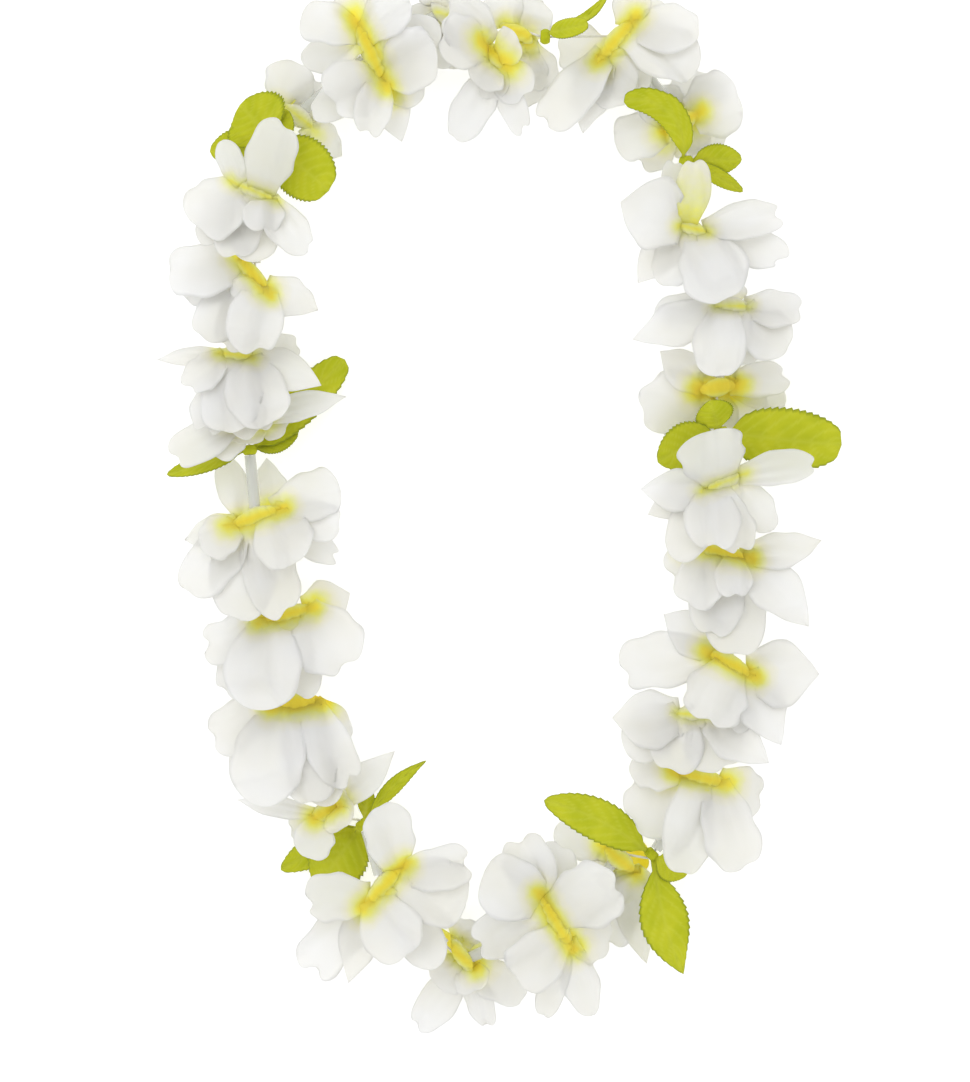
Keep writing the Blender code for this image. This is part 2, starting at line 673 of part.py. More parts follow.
def build_spray(index, number, leaves, material):
    """Leaves on one ring that the string goes through."""
    name = "leaf_spray_{}".format(number)
    blades = []
    for count, (bearing, reach, width, bend, fullness) in enumerate(leaves):
        style = leaf_style(index, count, bend)
        order = FRONT_ORDER - count % 2
        angle = math.radians(bearing)
        tip = place(index) + reach * Vector((math.cos(angle), math.sin(angle)))
        sections = leaf_sections(fullness)
        blades.append(blade(index, name, tip, width, style, order, sections))
    middle = middle_mesh(index, name, RING_LENGTH, RING_RADIUS, RING_RADIUS)
    return fused(name, middle, blades, material)


def straw(index, number, material):
    """A piece of clear straw round the string between two stations."""
    start = string_ends(index)[1]
    end = string_ends(index + 1)[0]
    aim = (end - start).normalized()
    lean_start = STRAW_RADIUS * math.tan(math.acos(min(1.0, aim.dot(face_aim(index)))))
    lean_end = STRAW_RADIUS * math.tan(math.acos(min(1.0, aim.dot(face_aim(index + 1)))))
    start = start + aim * lean_start
    end = end - aim * lean_end
    bore = STRAW_RADIUS - STRAW_WALL
    mesh = closed_sweep("straw", (
        cross_section(start, aim, STRAW_RADIUS, STRAW_RADIUS, STRAW_SIDES, 0.5),
        cross_section(end, aim, STRAW_RADIUS, STRAW_RADIUS, STRAW_SIDES, 0.5),
        cross_section(end, aim, bore, bore, STRAW_SIDES, 0.5),
        cross_section(start, aim, bore, bore, STRAW_SIDES, 0.5),
    ))
    mesh.shade_smooth()
    mesh.set_sharp_from_angle(angle=math.radians(SHARP_ANGLE))
    return add_object("spacer_{:02d}".format(number), mesh, material)


def string_loop(material):
    """The closed string, straight between stations, thicker where it is knotted."""
    spots = []
    for index in range(len(STATIONS)):
        spots.extend(string_ends(index))
    knot_middle = (spots[-1] + spots[0]) / 2
    toward = (spots[0] - spots[-1]).normalized()
    radii = [STRING_RADIUS] * len(spots)
    knot_end = KNOT_HALF_LENGTH + KNOT_TAPER
    for shift, radius in (
        (-knot_end, STRING_RADIUS),
        (-KNOT_HALF_LENGTH, KNOT_RADIUS),
        (KNOT_HALF_LENGTH, KNOT_RADIUS),
        (knot_end, STRING_RADIUS),
    ):
        spots.append(knot_middle + toward * shift)
        radii.append(radius)
    loops = []
    for number, spot in enumerate(spots):
        before = (spot - spots[number - 1]).normalized()
        beyond = (spots[(number + 1) % len(spots)] - spot).normalized()
        aim = (before + beyond).normalized()
        loops.append(cross_section(spot, aim, radii[number], radii[number], STRING_SIDES, 0.0))
    mesh = closed_sweep("string", loops)
    mesh.shade_smooth()
    return add_object("string", mesh, material)


remove_all()
white = plain_material("white_cloth", WHITE_CLOTH, CLOTH_ROUGHNESS)
green = plain_material("green_cloth", GREEN_CLOTH, CLOTH_ROUGHNESS)
clear = plain_material("clear_straw", CLEAR_STRAW, STRAW_ROUGHNESS)
twine = plain_material("string", STRING_COLOUR, CLOTH_ROUGHNESS)

bloom_count = 0
spray_count = 0
for station, (kind, _, _, _, front, back) in enumerate(STATIONS):
    if kind == BLOOM:
        bloom_count += 1
        build_bloom(station, bloom_count, front, back, white)
    else:
        spray_count += 1
        build_spray(station, spray_count, front, green)

straw_count = 0
for station in range(len(STATIONS)):
    if station not in BARE_AFTER:
        straw_count += 1
        straw(station, straw_count, clear)

string_loop(twine)
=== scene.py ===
import math
import random

import bmesh
import bpy
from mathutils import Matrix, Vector


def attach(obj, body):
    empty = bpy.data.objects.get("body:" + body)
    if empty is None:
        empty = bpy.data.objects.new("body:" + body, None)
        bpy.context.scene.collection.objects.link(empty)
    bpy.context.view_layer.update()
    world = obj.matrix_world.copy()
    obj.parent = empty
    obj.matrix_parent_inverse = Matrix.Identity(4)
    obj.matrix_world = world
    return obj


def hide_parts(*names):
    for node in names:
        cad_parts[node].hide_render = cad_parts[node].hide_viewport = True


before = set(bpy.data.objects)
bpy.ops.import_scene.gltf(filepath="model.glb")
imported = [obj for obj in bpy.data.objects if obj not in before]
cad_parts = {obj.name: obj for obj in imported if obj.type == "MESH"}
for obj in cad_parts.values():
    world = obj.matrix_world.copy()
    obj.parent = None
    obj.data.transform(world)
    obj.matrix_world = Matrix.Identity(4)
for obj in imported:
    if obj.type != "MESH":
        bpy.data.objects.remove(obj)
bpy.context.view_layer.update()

# String
# A closed loop of thin white thread that carries every piece, three plies twisted together.
# It was threaded through the blooms, sprays and straws and then tied in one knot inside a straw.
MM = 0.001
STRING_HEIGHT = 18.5
THREAD_RADIUS = 0.6
PLY_DEPTH = 0.17
TURN_LENGTH = 2.6
THREAD_STEP = 0.5
KNOT_SIZE = 0.42

# Along the string: a bloom's middle, a spray's ring and the gap past each of their ends
HUB_LENGTH = 6.0
RING_LENGTH = 4.0
GAP = 0.35

# Stations round the string, counter-clockwise from the top left: the two ends of a bloom's throat,
# or the place of a spray twice, and whether it lies over the next one (+1) or under it (-1)
STATIONS = (
    ((-64, 214), (-49, 181), +1),
    ((-96, 176), (-81, 165), -1),
    ((-99, 157), (-99, 157), -1),
    ((-117, 142), (-96, 133), +1),
    ((-114, 110), (-100, 93), +1),
    ((-122, 68), (-107, 66), +1),
    ((-115, 39), (-103, 39), +1),
    ((-109, 26), (-109, 26), +1),
    ((-118, -7), (-94, 1), +1),
    ((-105, -48), (-81, -42), +1),
    ((-99, -84), (-77, -82), +1),
    ((-81, -133), (-70, -127), +1),
    ((-60, -136), (-60, -136), -1),
    ((-60, -172), (-41, -152), +1),
    ((-23, -188), (-11, -198), -1),
    ((16, -165), (31, -190), +1),
    ((44, -145), (58, -157), -1),
    ((65, -149), (65, -149), -1),
    ((74, -113), (98, -118), -1),
    ((76, -88), (89, -88), -1),
    ((88, -61), (110, -72), -1),
    ((83, -15), (108, -21), -1),
    ((86, 8), (106, 16), +1),
    ((95, 34), (95, 34), +1),
    ((85, 52), (102, 54), -1),
    ((93, 88), (107, 88), -1),
    ((77, 123), (89, 120), +1),
    ((80, 151), (80, 151), +1),
    ((70, 164), (86, 172), -1),
    ((58, 213), (42, 194), -1),
    ((19, 205), (19, 205), +1),
    ((2, 208), (11, 205), -1),
    ((-9, 201), (3, 192), +1),
    ((-28, 215), (-22, 213), -1),
)

# The most that a bloom's throat may turn from square to the string, in degrees
MOST_SKEW = 35


def place(index):
    """Where a station is, seen from above."""
    first, second, _ = STATIONS[index % len(STATIONS)]
    return (Vector(first) + Vector(second)) / 2


def over_next(index):
    """Whether a station lies over the next one (+1) or under it (-1)."""
    return STATIONS[index % len(STATIONS)][2]


def half_throat(index):
    """Half the length of a bloom's throat, or nothing for a spray."""
    first, second, _ = STATIONS[index % len(STATIONS)]
    return (Vector(second) - Vector(first)).length / 2


def heading(index):
    """Direction of the string through a station."""
    return (place(index + 1) - place(index - 1)).normalized()


def fold_line(index):
    """Direction along a bloom's throat, within limits, or square to the string at a spray."""
    aim = heading(index)
    square = Vector((-aim.y, aim.x))
    if half_throat(index) == 0:
        return square
    first, second, _ = STATIONS[index % len(STATIONS)]
    fold = Vector(second) - Vector(first)
    if fold.dot(square) < 0:
        fold = -fold
    limit = math.radians(MOST_SKEW)
    turn = math.atan2(fold.dot(-aim), fold.dot(square))
    turn = min(limit, max(-limit, turn))
    return square * math.cos(turn) - aim * math.sin(turn)


def face_aim(index):
    """Direction square to the end faces of a station's middle."""
    fold = fold_line(index)
    return Vector((fold.y, -fold.x))


def string_ends(index):
    """Where the string enters and leaves the middle of a station."""
    length = HUB_LENGTH if half_throat(index) else RING_LENGTH
    reach = length / 2 + GAP
    return place(index) - heading(index) * reach, place(index) + heading(index) * reach


def knot_points(middle, toward, count=60):
    """A trefoil that stands round the string, its axis along it."""
    across = Vector((-toward.y, toward.x, 0))
    points = []
    for step in range(count):
        t = 2 * math.pi * step / count
        sideways = (math.sin(t) + 2 * math.sin(2 * t)) * KNOT_SIZE
        up = (math.cos(t) - 2 * math.cos(2 * t)) * KNOT_SIZE
        along = -math.sin(3 * t) * KNOT_SIZE * 2
        spot = middle + toward * along
        points.append(Vector((spot.x, spot.y, STRING_HEIGHT + up)) + across * sideways)
    return points


def wire_mesh(name, lines, closed):
    """Edges along lines of points in mm, for a tree to thicken."""
    mesh = bpy.data.meshes.new(name)
    points = []
    edges = []
    for line in lines:
        start = len(points)
        points.extend(point * MM for point in line)
        edges.extend((start + n, start + n + 1) for n in range(len(line) - 1))
        if closed:
            edges.append((len(points) - 1, start))
    mesh.from_pydata(points, edges, [])
    return mesh


def new_tree(name, inputs):
    """An empty geometry tree with named number inputs."""
    tree = bpy.data.node_groups.new(name, "GeometryNodeTree")
    tree.interface.new_socket("Geometry", in_out="INPUT", socket_type="NodeSocketGeometry")
    for title, kind in inputs:
        tree.interface.new_socket(title, in_out="INPUT", socket_type=kind)
    tree.interface.new_socket("Geometry", in_out="OUTPUT", socket_type="NodeSocketGeometry")
    return tree


def finish_tree(tree, line, section, material):
    """Sweep a section along a line. Realize Instances and Set Material close every tree."""
    sweep = tree.nodes.new("GeometryNodeCurveToMesh")
    real = tree.nodes.new("GeometryNodeRealizeInstances")
    paint = tree.nodes.new("GeometryNodeSetMaterial")
    paint.inputs["Material"].default_value = material
    out = tree.nodes.new("NodeGroupOutput")
    tree.links.new(line, sweep.inputs["Curve"])
    tree.links.new(section, sweep.inputs["Profile Curve"])
    tree.links.new(sweep.outputs["Mesh"], real.inputs["Geometry"])
    tree.links.new(real.outputs["Geometry"], paint.inputs["Geometry"])
    tree.links.new(paint.outputs["Geometry"], out.inputs["Geometry"])


def placed(name, data):
    """A new object in the scene."""
    thing = bpy.data.objects.new(name, data)
    bpy.context.scene.collection.objects.link(thing)
    return thing


def grown(name, mesh, tree, values, wall=0.0):
    """Run a tree on a mesh and keep the result as a plain mesh object."""
    thing = placed(name, mesh)
    grow = thing.modifiers.new("grow", "NODES")
    grow.node_group = tree
    for socket in tree.interface.items_tree:
        if socket.in_out == "INPUT" and socket.name in values:
            grow[socket.identifier] = values[socket.name]
    if wall:
        shell = thing.modifiers.new("wall", "SOLIDIFY")
        shell.thickness = wall
        shell.offset = -1.0
    seen = thing.evaluated_get(bpy.context.evaluated_depsgraph_get())
    result = bpy.data.meshes.new_from_object(seen)
    thing.modifiers.clear()
    thing.data = result
    result.name = name
    result.shade_smooth()
    return thing


def feed(tree, given, socket):
    """Give a socket another node's output, or a plain value."""
    if isinstance(given, bpy.types.NodeSocket):
        tree.links.new(given, socket)
    else:
        socket.default_value = given


def calculated(tree, operation, *values):
    """What one calculation makes of values and other nodes' outputs."""
    node = tree.nodes.new("ShaderNodeMath")
    node.operation = operation
    for given, socket in zip(values, node.inputs):
        feed(tree, given, socket)
    return node.outputs[0]


def new_material(name):
    """A material, its tree of nodes and its shader."""
    material = bpy.data.materials.new(name)
    material.use_nodes = True
    return material, material.node_tree, material.node_tree.nodes["Principled BSDF"]


def noise_shade(tree, scale, detail=2.0):
    """Soft uneven values from 0 to 1 through the object."""
    where = tree.nodes.new("ShaderNodeTexCoord")
    noise = tree.nodes.new("ShaderNodeTexNoise")
    noise.inputs["Scale"].default_value = scale
    noise.inputs["Detail"].default_value = detail
    tree.links.new(where.outputs["Object"], noise.inputs["Vector"])
    return noise.outputs["Fac"]


def ramp_colour(tree, value, stops):
    """The colour that goes with a value, from stops that each give a place and a colour."""
    ramp = tree.nodes.new("ShaderNodeValToRGB")
    elements = ramp.color_ramp.elements
    while len(elements) < len(stops):
        elements.new(0.5)
    for element, (position, colour) in zip(elements, stops):
        element.position = position
        element.color = (*colour, 1.0)
    tree.links.new(value, ramp.inputs["Fac"])
    return ramp.outputs["Color"]


def thread_material():
    """Matt white thread, faintly uneven."""
    material, tree, shader = new_material("white_thread")
    colour = ramp_colour(tree, noise_shade(tree, 900.0), (
        (0.0, (0.72, 0.70, 0.62)),
        (1.0, (0.88, 0.87, 0.82)),
    ))
    tree.links.new(colour, shader.inputs["Base Color"])
    shader.inputs["Roughness"].default_value = 0.85
    return material


def thread_tree(material):
    """A twisted star section swept along the line."""
    tree = new_tree("twisted_thread", (
        ("Radius", "NodeSocketFloat"),
        ("Ply depth", "NodeSocketFloat"),
        ("Turn length", "NodeSocketFloat"),
        ("Step", "NodeSocketFloat"),
    ))
    given = tree.nodes.new("NodeGroupInput")
    line = tree.nodes.new("GeometryNodeMeshToCurve")
    resample = tree.nodes.new("GeometryNodeResampleCurve")
    resample.mode = "LENGTH"
    along = tree.nodes.new("GeometryNodeSplineParameter")
    turns = calculated(tree, "DIVIDE", along.outputs["Length"], given.outputs["Turn length"])
    angle = calculated(tree, "MULTIPLY", turns, 2 * math.pi)
    groove = calculated(tree, "SUBTRACT", given.outputs["Radius"], given.outputs["Ply depth"])
    twist = tree.nodes.new("GeometryNodeSetCurveTilt")
    section = tree.nodes.new("GeometryNodeCurveStar")
    section.inputs["Points"].default_value = 3
    tree.links.new(given.outputs["Geometry"], line.inputs["Mesh"])
    tree.links.new(line.outputs["Curve"], resample.inputs["Curve"])
    tree.links.new(given.outputs["Step"], resample.inputs["Length"])
    tree.links.new(resample.outputs["Curve"], twist.inputs["Curve"])
    tree.links.new(angle, twist.inputs["Tilt"])
    tree.links.new(given.outputs["Radius"], section.inputs["Outer Radius"])
    tree.links.new(groove, section.inputs["Inner Radius"])
    finish_tree(tree, twist.outputs["Curve"], section.outputs["Curve"], material)
    return tree


course = []
for station in range(len(STATIONS)):
    for spot in string_ends(station):
        course.append(Vector((spot.x, spot.y, STRING_HEIGHT)))
knot_middle = (course[-1] + course[0]).to_2d() / 2
knot_aim = (course[0] - course[-1]).to_2d().normalized()
string_wire = wire_mesh("string_wire", (course, knot_points(knot_middle, knot_aim)), True)
string = grown("thread", string_wire, thread_tree(thread_material()), {
    "Radius": THREAD_RADIUS * MM,
    "Ply depth": PLY_DEPTH * MM,
    "Turn length": TURN_LENGTH * MM,
    "Step": THREAD_STEP * MM,
})
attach(string, "root")
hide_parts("string")

# Straw spacers
# Short lengths cut from a clear plastic drinking straw, slipped on the string between the blooms.
# Each is a thin round wall with square-cut ends.
STRAW_RADIUS = 2.5
STRAW_WALL = 0.35
STRAW_SIDES = 24
SHARP_ANGLE = 40

# Stations with bare string between them and the next one
BARE_AFTER = (2, 6, 11, 16, 19, 23, 27, 29, 30, 31)


def changed_range(tree, value, given, wanted):
    """A value brought from the range that it has to the one that is wanted."""
    change = tree.nodes.new("ShaderNodeMapRange")
    for name, number in zip(("From Min", "From Max", "To Min", "To Max"), given + wanted):
        change.inputs[name].default_value = number
    tree.links.new(value, change.inputs["Value"])
    return change.outputs["Result"]


def straw_material():
    """Clear plastic, a little milky, glossy and faintly scuffed."""
    material, tree, shader = new_material("clear_plastic")
    roughness = changed_range(tree, noise_shade(tree, 500.0), (0.0, 1.0), (0.12, 0.35))
    tree.links.new(roughness, shader.inputs["Roughness"])
    shader.inputs["Base Color"].default_value = (0.76, 0.77, 0.73, 1.0)
    shader.inputs["IOR"].default_value = 1.45
    shader.inputs["Alpha"].default_value = 0.5
    return material


def straw_tree(material):
    """A round tube along each edge."""
    tree = new_tree("straws", (("Radius", "NodeSocketFloat"), ("Sides", "NodeSocketInt")))
    given = tree.nodes.new("NodeGroupInput")
    line = tree.nodes.new("GeometryNodeMeshToCurve")
    section = tree.nodes.new("GeometryNodeCurvePrimitiveCircle")
    tree.links.new(given.outputs["Geometry"], line.inputs["Mesh"])
    tree.links.new(given.outputs["Radius"], section.inputs["Radius"])
    tree.links.new(given.outputs["Sides"], section.inputs["Resolution"])
    finish_tree(tree, line.outputs["Curve"], section.outputs["Curve"], material)
    return tree


def slant(aim, index):
    """Angle between a straw and the line square to the end face of a station's middle."""
    return math.acos(min(1.0, aim.dot(face_aim(index))))


straw_lines = []
for station in range(len(STATIONS)):
    if station in BARE_AFTER:
        continue
    start = string_ends(station)[1]
    end = string_ends(station + 1)[0]
    aim = (end - start).normalized()
    start += aim * STRAW_RADIUS * math.tan(slant(aim, station))
    end -= aim * STRAW_RADIUS * math.tan(slant(aim, station + 1))
    straw_lines.append([Vector((spot.x, spot.y, STRING_HEIGHT)) for spot in (start, end)])
straws = grown(
    "straws",
    wire_mesh("straw_lines", straw_lines, False),
    straw_tree(straw_material()),
    {"Radius": STRAW_RADIUS * MM, "Sides": STRAW_SIDES},
    STRAW_WALL * MM,
)
straws.data.set_sharp_from_angle(angle=math.radians(SHARP_ANGLE))
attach(straws, "root")
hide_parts(*["spacer_{:02d}".format(n + 1) for n in range(len(straw_lines))])

# Blooms
# Each bloom is cut from thin white cloth in two layers of petals, dyed yellow at the throat and
# gathered round the string. Petals climb over the lower neighbour and tuck under the higher one.
CLOTH = 0.24

# The gathered middle, how fast its dye fades, its rings of points and its pleats
GATHER_LENGTH = 8.4
GATHER_HALF_HEIGHT = 4.0
GATHER_DRAW_IN = 0.2
GATHER_TAPER = 0.55
GATHER_PLEAT_DEPTH = 0.12
GATHER_FADE = 1.3
GATHER_RINGS = 11
GATHER_LEAN = 0.25
PLEATS_PER_MM = 1.2
POINTS_IN_PLEAT = 6
PLEAT_TURN = 0.6

# The plane between two neighbours, how far the cloth stays off it and off the lane of the straws,
# and how softly it turns there
SLOPE = 0.58
PLANE_RISE = 5.0
PLANE_CLEARANCE = 0.9
STRAW_CLEARANCE = 5.4
STRAW_HALF_LANE = 3.6
LANE_EDGE = 9.0
LANE_START = 3.0
LANE_FADE = 6.0
CLIMB_REACH = 26.0
CLIMB_START = 5.0
SOFT = 2.5

# A bloom's blades lie in four orders, from 0 at the bottom to 3 at the top
FRONT_ORDER = 2
TOP_ORDER = 3
LAYER_STEP = 2.4
FOLD_STEP = 1.5

# Where a blade starts at its middle. By the cosine of its angle to the string it leaves straight
# out of the side, up to the first of the two, or above or below the hole, from the second on.
ROOT_STEP = 0.6
ROOT_LIFT = 2.0
ROOT_ROOM = 2.7
ROOT_AHEAD = 1.0
RING_ROOT = 0.65
RING_SPREAD = 0.8
LEAST_SPREAD = 4.0
MOST_SPREAD = 12.0
THROAT_END = 5.0
HUB_END = 4.0
SPREAD_EASE = 0.6
RUNS_ALONG = (0.25, 0.85)

# The cloth of a blade, and the scales of the charts that the weave follows
LEAST_BEND = 0.5
CUP_HALF_WIDTH = 12.0
CHART_UNIT = 10.0
GATHER_CHART = 100
PETAL_ROWS = 22
PETAL_COLUMNS = 15
FULL_TURN = 6.28

# A petal's foot as a share of its width, and where along its length it is full and widest
PETAL_FOOT = 0.58
PETAL_FULL = 0.45
PETAL_WIDEST = 0.5

# Stretches of a petal's length, as shares of it, over which a thing grows or fades
FOOT_RISES = (0.0, 0.15)
LAYERS_PART = (0.0, 0.4)
WAVES_GROW = (0.2, 0.7)
FOLDS_GROW = (0.05, 0.2)
FOLDS_FADE = (0.3, 0.85)
EDGE_STRAYS = (0.2, 0.6)
NOTCH_OPENS = (0.5, 1.0)
BORDER_CLOSES = (0.7, 1.0)

# The waved and uneven edge: the power by which the waves grow towards it, how far waves and strays
# slant across the petal, the share of its width that it strays, and its notch
WAVE_POWER = 1.5
WAVE_SLANT = 1.3
STRAY_SLANT = 0.4
STRAY = 0.035
NOTCH_HALF_WIDTH = 0.3

# Petal outlines: the two powers by which the half width falls off past its widest place, and how
# quickly the dye fades along the petal. A yellow one is dyed nearly to its tip.
ROUND = (2.4, 0.5, 1.0)
SQUARE = (5.0, 0.5, 1.0)
POINTED = (1.5, 1.0, 1.0)
YELLOW = (2.4, 0.5, 0.2)
BACK_FADE = 0.8

# How many mm further from the throat the cloth of some blooms seems to lie: most of these took
# little dye, and two took more
PALENESS = {1: 3.0, 3: 3.0, 5: 2.0, 10: -1.5, 19: 3.0, 22: 3.0, 24: -1.5, 25: 3.0, 26: 2.5, 33: 3.0}

# For each bloom its front petals and its back ones, each as x and y of its tip, width and outline
PETALS = {
    0: (
        ((-73, 171, 26, ROUND), (-57, 158, 16, ROUND), (-27, 194, 27, ROUND),
         (-40, 218, 21, ROUND), (-86, 211, 20, SQUARE), (-66, 227, 18, ROUND)),
        ((-43, 159, 16, POINTED), (-33, 179, 18, ROUND), (-86, 193, 17, ROUND),
         (-81, 167, 16, ROUND), (-27, 208, 20, ROUND)),
    ),
    1: (
        ((-90, 196, 21, ROUND), (-73, 182, 15, ROUND)),
        ((-70, 156, 17, POINTED), (-104, 184, 17, YELLOW), (-79, 190, 18, ROUND)),
    ),
    3: (
        ((-92, 165, 22, ROUND), (-120, 158, 12, ROUND), (-131, 121, 28, SQUARE),
         (-82, 110, 17, ROUND), (-102, 118, 18, ROUND)),
        ((-127, 112, 22, ROUND), (-108, 106, 22, ROUND), (-117, 107, 20, ROUND)),
    ),
    4: (
        ((-144, 102, 25, SQUARE), (-113, 89, 16, ROUND), (-79, 86, 18, POINTED),
         (-106, 65, 24, ROUND)),
        ((-130, 74, 23, ROUND), (-137, 91, 18, ROUND), (-119, 68, 22, ROUND)),
    ),
    5: (
        ((-149, 65, 9, POINTED), (-136, 52, 16, ROUND), (-118, 32, 27, ROUND),
         (-97, 36, 27, ROUND), (-77, 53, 19, POINTED)),
        ((-127, 31, 20, ROUND), (-106, 29, 22, ROUND), (-87, 72, 16, ROUND)),
    ),
    6: (
        ((-67, 49, 13, POINTED), (-141, 22, 18, SQUARE)),
        ((-92, 35, 14, ROUND), (-124, 23, 16, ROUND), (-109, 28, 17, ROUND)),
    ),
    8: (
        ((-70, 10, 22, SQUARE), (-69, -8, 17, SQUARE), (-130, -16, 19, ROUND),
         (-87, -23, 26, ROUND), (-121, 23, 14, ROUND)),
        ((-138, -13, 16, POINTED), (-137, -35, 24, ROUND), (-111, -48, 30, ROUND),
         (-93, -47, 24, ROUND), (-69, -22, 13, ROUND), (-103, 23, 16, POINTED)),
    ),
    9: (
        ((-63, -67, 29, ROUND), (-105, -85, 34, ROUND), (-129, -61, 19, SQUARE)),
        ((-85, -82, 26, ROUND), (-119, -80, 23, ROUND), (-72, -56, 18, ROUND),
         (-66, -36, 22, POINTED)),
    ),
    10: (
        ((-125, -101, 21, SQUARE), (-104, -126, 32, ROUND), (-82, -126, 25, ROUND),
         (-63, -118, 20, ROUND)),
        ((-115, -115, 20, ROUND), (-73, -126, 22, ROUND), (-66, -100, 18, ROUND)),
    ),
    11: (
        ((-115, -126, 9, POINTED), (-85, -150, 18, ROUND), (-67, -136, 15, ROUND),
         (-65, -123, 15, ROUND)),
        ((-46, -104, 14, POINTED), (-92, -141, 13, ROUND)),
    ),
    13: (
        ((-49, -124, 21, ROUND), (-13, -149, 19, SQUARE), (-15, -168, 28, SQUARE),
         (-85, -167, 22, SQUARE), (-40, -191, 28, ROUND)),
        ((-85, -202, 22, SQUARE), (-66, -204, 18, POINTED), (-27, -195, 22, ROUND)),
    ),
    14: (
        ((-29, -206, 17, ROUND), (-14, -178, 16, SQUARE), (-10, -208, 16, ROUND)),
        ((-37, -229, 17, ROUND), (-5, -228, 12, ROUND), (10, -216, 17, ROUND),
         (1, -184, 18, ROUND), (-40, -194, 17, ROUND)),
    ),
    15: (
        ((-8, -156, 27, SQUARE), (8, -139, 22, SQUARE), (6, -201, 25, SQUARE),
         (51, -158, 29, ROUND)),
        ((18, -219, 14, ROUND), (40, -220, 16, ROUND), (48, -186, 23, ROUND),
         (24, -142, 21, ROUND), (-12, -188, 23, ROUND)),
    ),
    16: (
        ((24, -137, 17, ROUND), (38, -171, 24, ROUND), (60, -171, 18, ROUND)),
        ((44, -192, 24, SQUARE), (64, -199, 17, POINTED), (65, -150, 14, YELLOW)),
    ),
    18: (
        ((55, -111, 16, ROUND), (77, -156, 23, ROUND), (104, -154, 24, SQUARE)),
        ((55, -135, 28, ROUND), (114, -128, 23, ROUND), (91, -142, 20, ROUND)),
    ),
    19: (
        ((48, -90, 26, POINTED), (114, -108, 21, POINTED)),
        ((54, -105, 22, ROUND), (70, -112, 23, ROUND), (95, -112, 26, ROUND)),
    ),
    20: (
        ((50, -68, 23, SQUARE), (120, -101, 22, POINTED), (137, -71, 30, POINTED),
         (70, -45, 20, POINTED), (87, -92, 28, ROUND)),
        ((129, -79, 23, ROUND), (98, -96, 23, ROUND), (99, -48, 18, ROUND)),
    ),
    21: (
        ((139, -13, 16, POINTED), (99, -38, 17, ROUND), (131, -50, 22, POINTED),
         (80, -41, 20, SQUARE)),
        ((102, -63, 29, ROUND), (89, -55, 23, ROUND), (72, -27, 18, ROUND), (123, -32, 18, ROUND)),
    ),
    22: (
        ((87, 33, 28, SQUARE), (136, 19, 15, ROUND), (60, 9, 19, POINTED), (89, -18, 24, ROUND),
         (104, -19, 19, ROUND)),
        ((63, -2, 18, POINTED), (116, -9, 17, ROUND), (75, -22, 20, ROUND)),
    ),
    24: (
        ((61, 39, 26, ROUND), (126, 57, 16, ROUND), (69, 69, 19, POINTED), (93, 68, 18, ROUND)),
        ((125, 47, 14, ROUND), (72, 32, 21, ROUND), (114, 35, 22, ROUND), (93, 31, 23, ROUND)),
    ),
    25: (
        ((56, 73, 20, POINTED), (131, 87, 17, ROUND), (90, 56, 23, ROUND), (123, 68, 23, ROUND)),
        ((96, 100, 21, ROUND), (66, 83, 17, ROUND), (125, 77, 18, ROUND), (102, 62, 25, ROUND)),
    ),
    26: (
        ((51, 132, 31, POINTED), (122, 126, 17, ROUND), (94, 88, 29, ROUND), (82, 150, 15, YELLOW)),
        ((59, 98, 17, POINTED), (123, 107, 19, ROUND), (70, 96, 18, ROUND), (98, 96, 25, ROUND),
         (72, 150, 12, ROUND)),
    ),
    28: (
        ((103, 179, 30, ROUND), (50, 159, 21, SQUARE), (64, 184, 21, ROUND), (86, 192, 26, ROUND)),
        ((96, 158, 21, ROUND), (86, 156, 18, ROUND), (60, 152, 18, ROUND)),
    ),
    29: (
        ((85, 205, 23, ROUND), (19, 165, 21, SQUARE), (82, 185, 26, ROUND), (60, 227, 17, ROUND),
         (24, 201, 24, ROUND)),
        ((35, 162, 18, POINTED), (48, 172, 21, ROUND), (60, 178, 23, ROUND), (74, 217, 18, ROUND)),
    ),
    31: (
        ((-1, 225, 18, ROUND), (19, 221, 17, ROUND)),
        ((12, 177, 20, ROUND), (22, 184, 16, ROUND)),
    ),
    32: (
        ((-10, 183, 17, ROUND), (-24, 214, 23, ROUND), (-27, 200, 21, ROUND), (8, 200, 15, ROUND)),
        ((-21, 161, 17, ROUND), (10, 163, 12, ROUND), (-6, 178, 14, ROUND), (11, 178, 18, ROUND)),
    ),
    33: (
        ((-28, 226, 18, ROUND), (-41, 207, 19, ROUND), (-32, 195, 21, ROUND),
         (-14, 208, 20, ROUND)),
        ((-21, 194, 22, ROUND), (-40, 199, 19, ROUND), (-11, 219, 18, ROUND)),
    ),
}


def smooth_step(low, high, value):
    """Zero below the low value, one above the high value, eased between them."""
    u = min(1.0, max(0.0, (value - low) / (high - low)))
    return u * u * (3 - 2 * u)


def soft_max(a, b):
    """The larger of two heights, rounded where they meet."""
    near = max(SOFT - abs(a - b), 0.0) / SOFT
    return max(a, b) + near * near * SOFT / 4


def soft_min(a, b):
    """The smaller of two heights, rounded where they meet."""
    return -soft_max(-a, -b)


def dividing_plane(index, spot):
    """Height at a spot of the plane between a station and the next one."""
    first = place(index)
    second = place(index + 1)
    along = (second - first).normalized()
    over = over_next(index)
    return STRING_HEIGHT + PLANE_RISE + SLOPE * over * (spot - (first + second) / 2).dot(along)


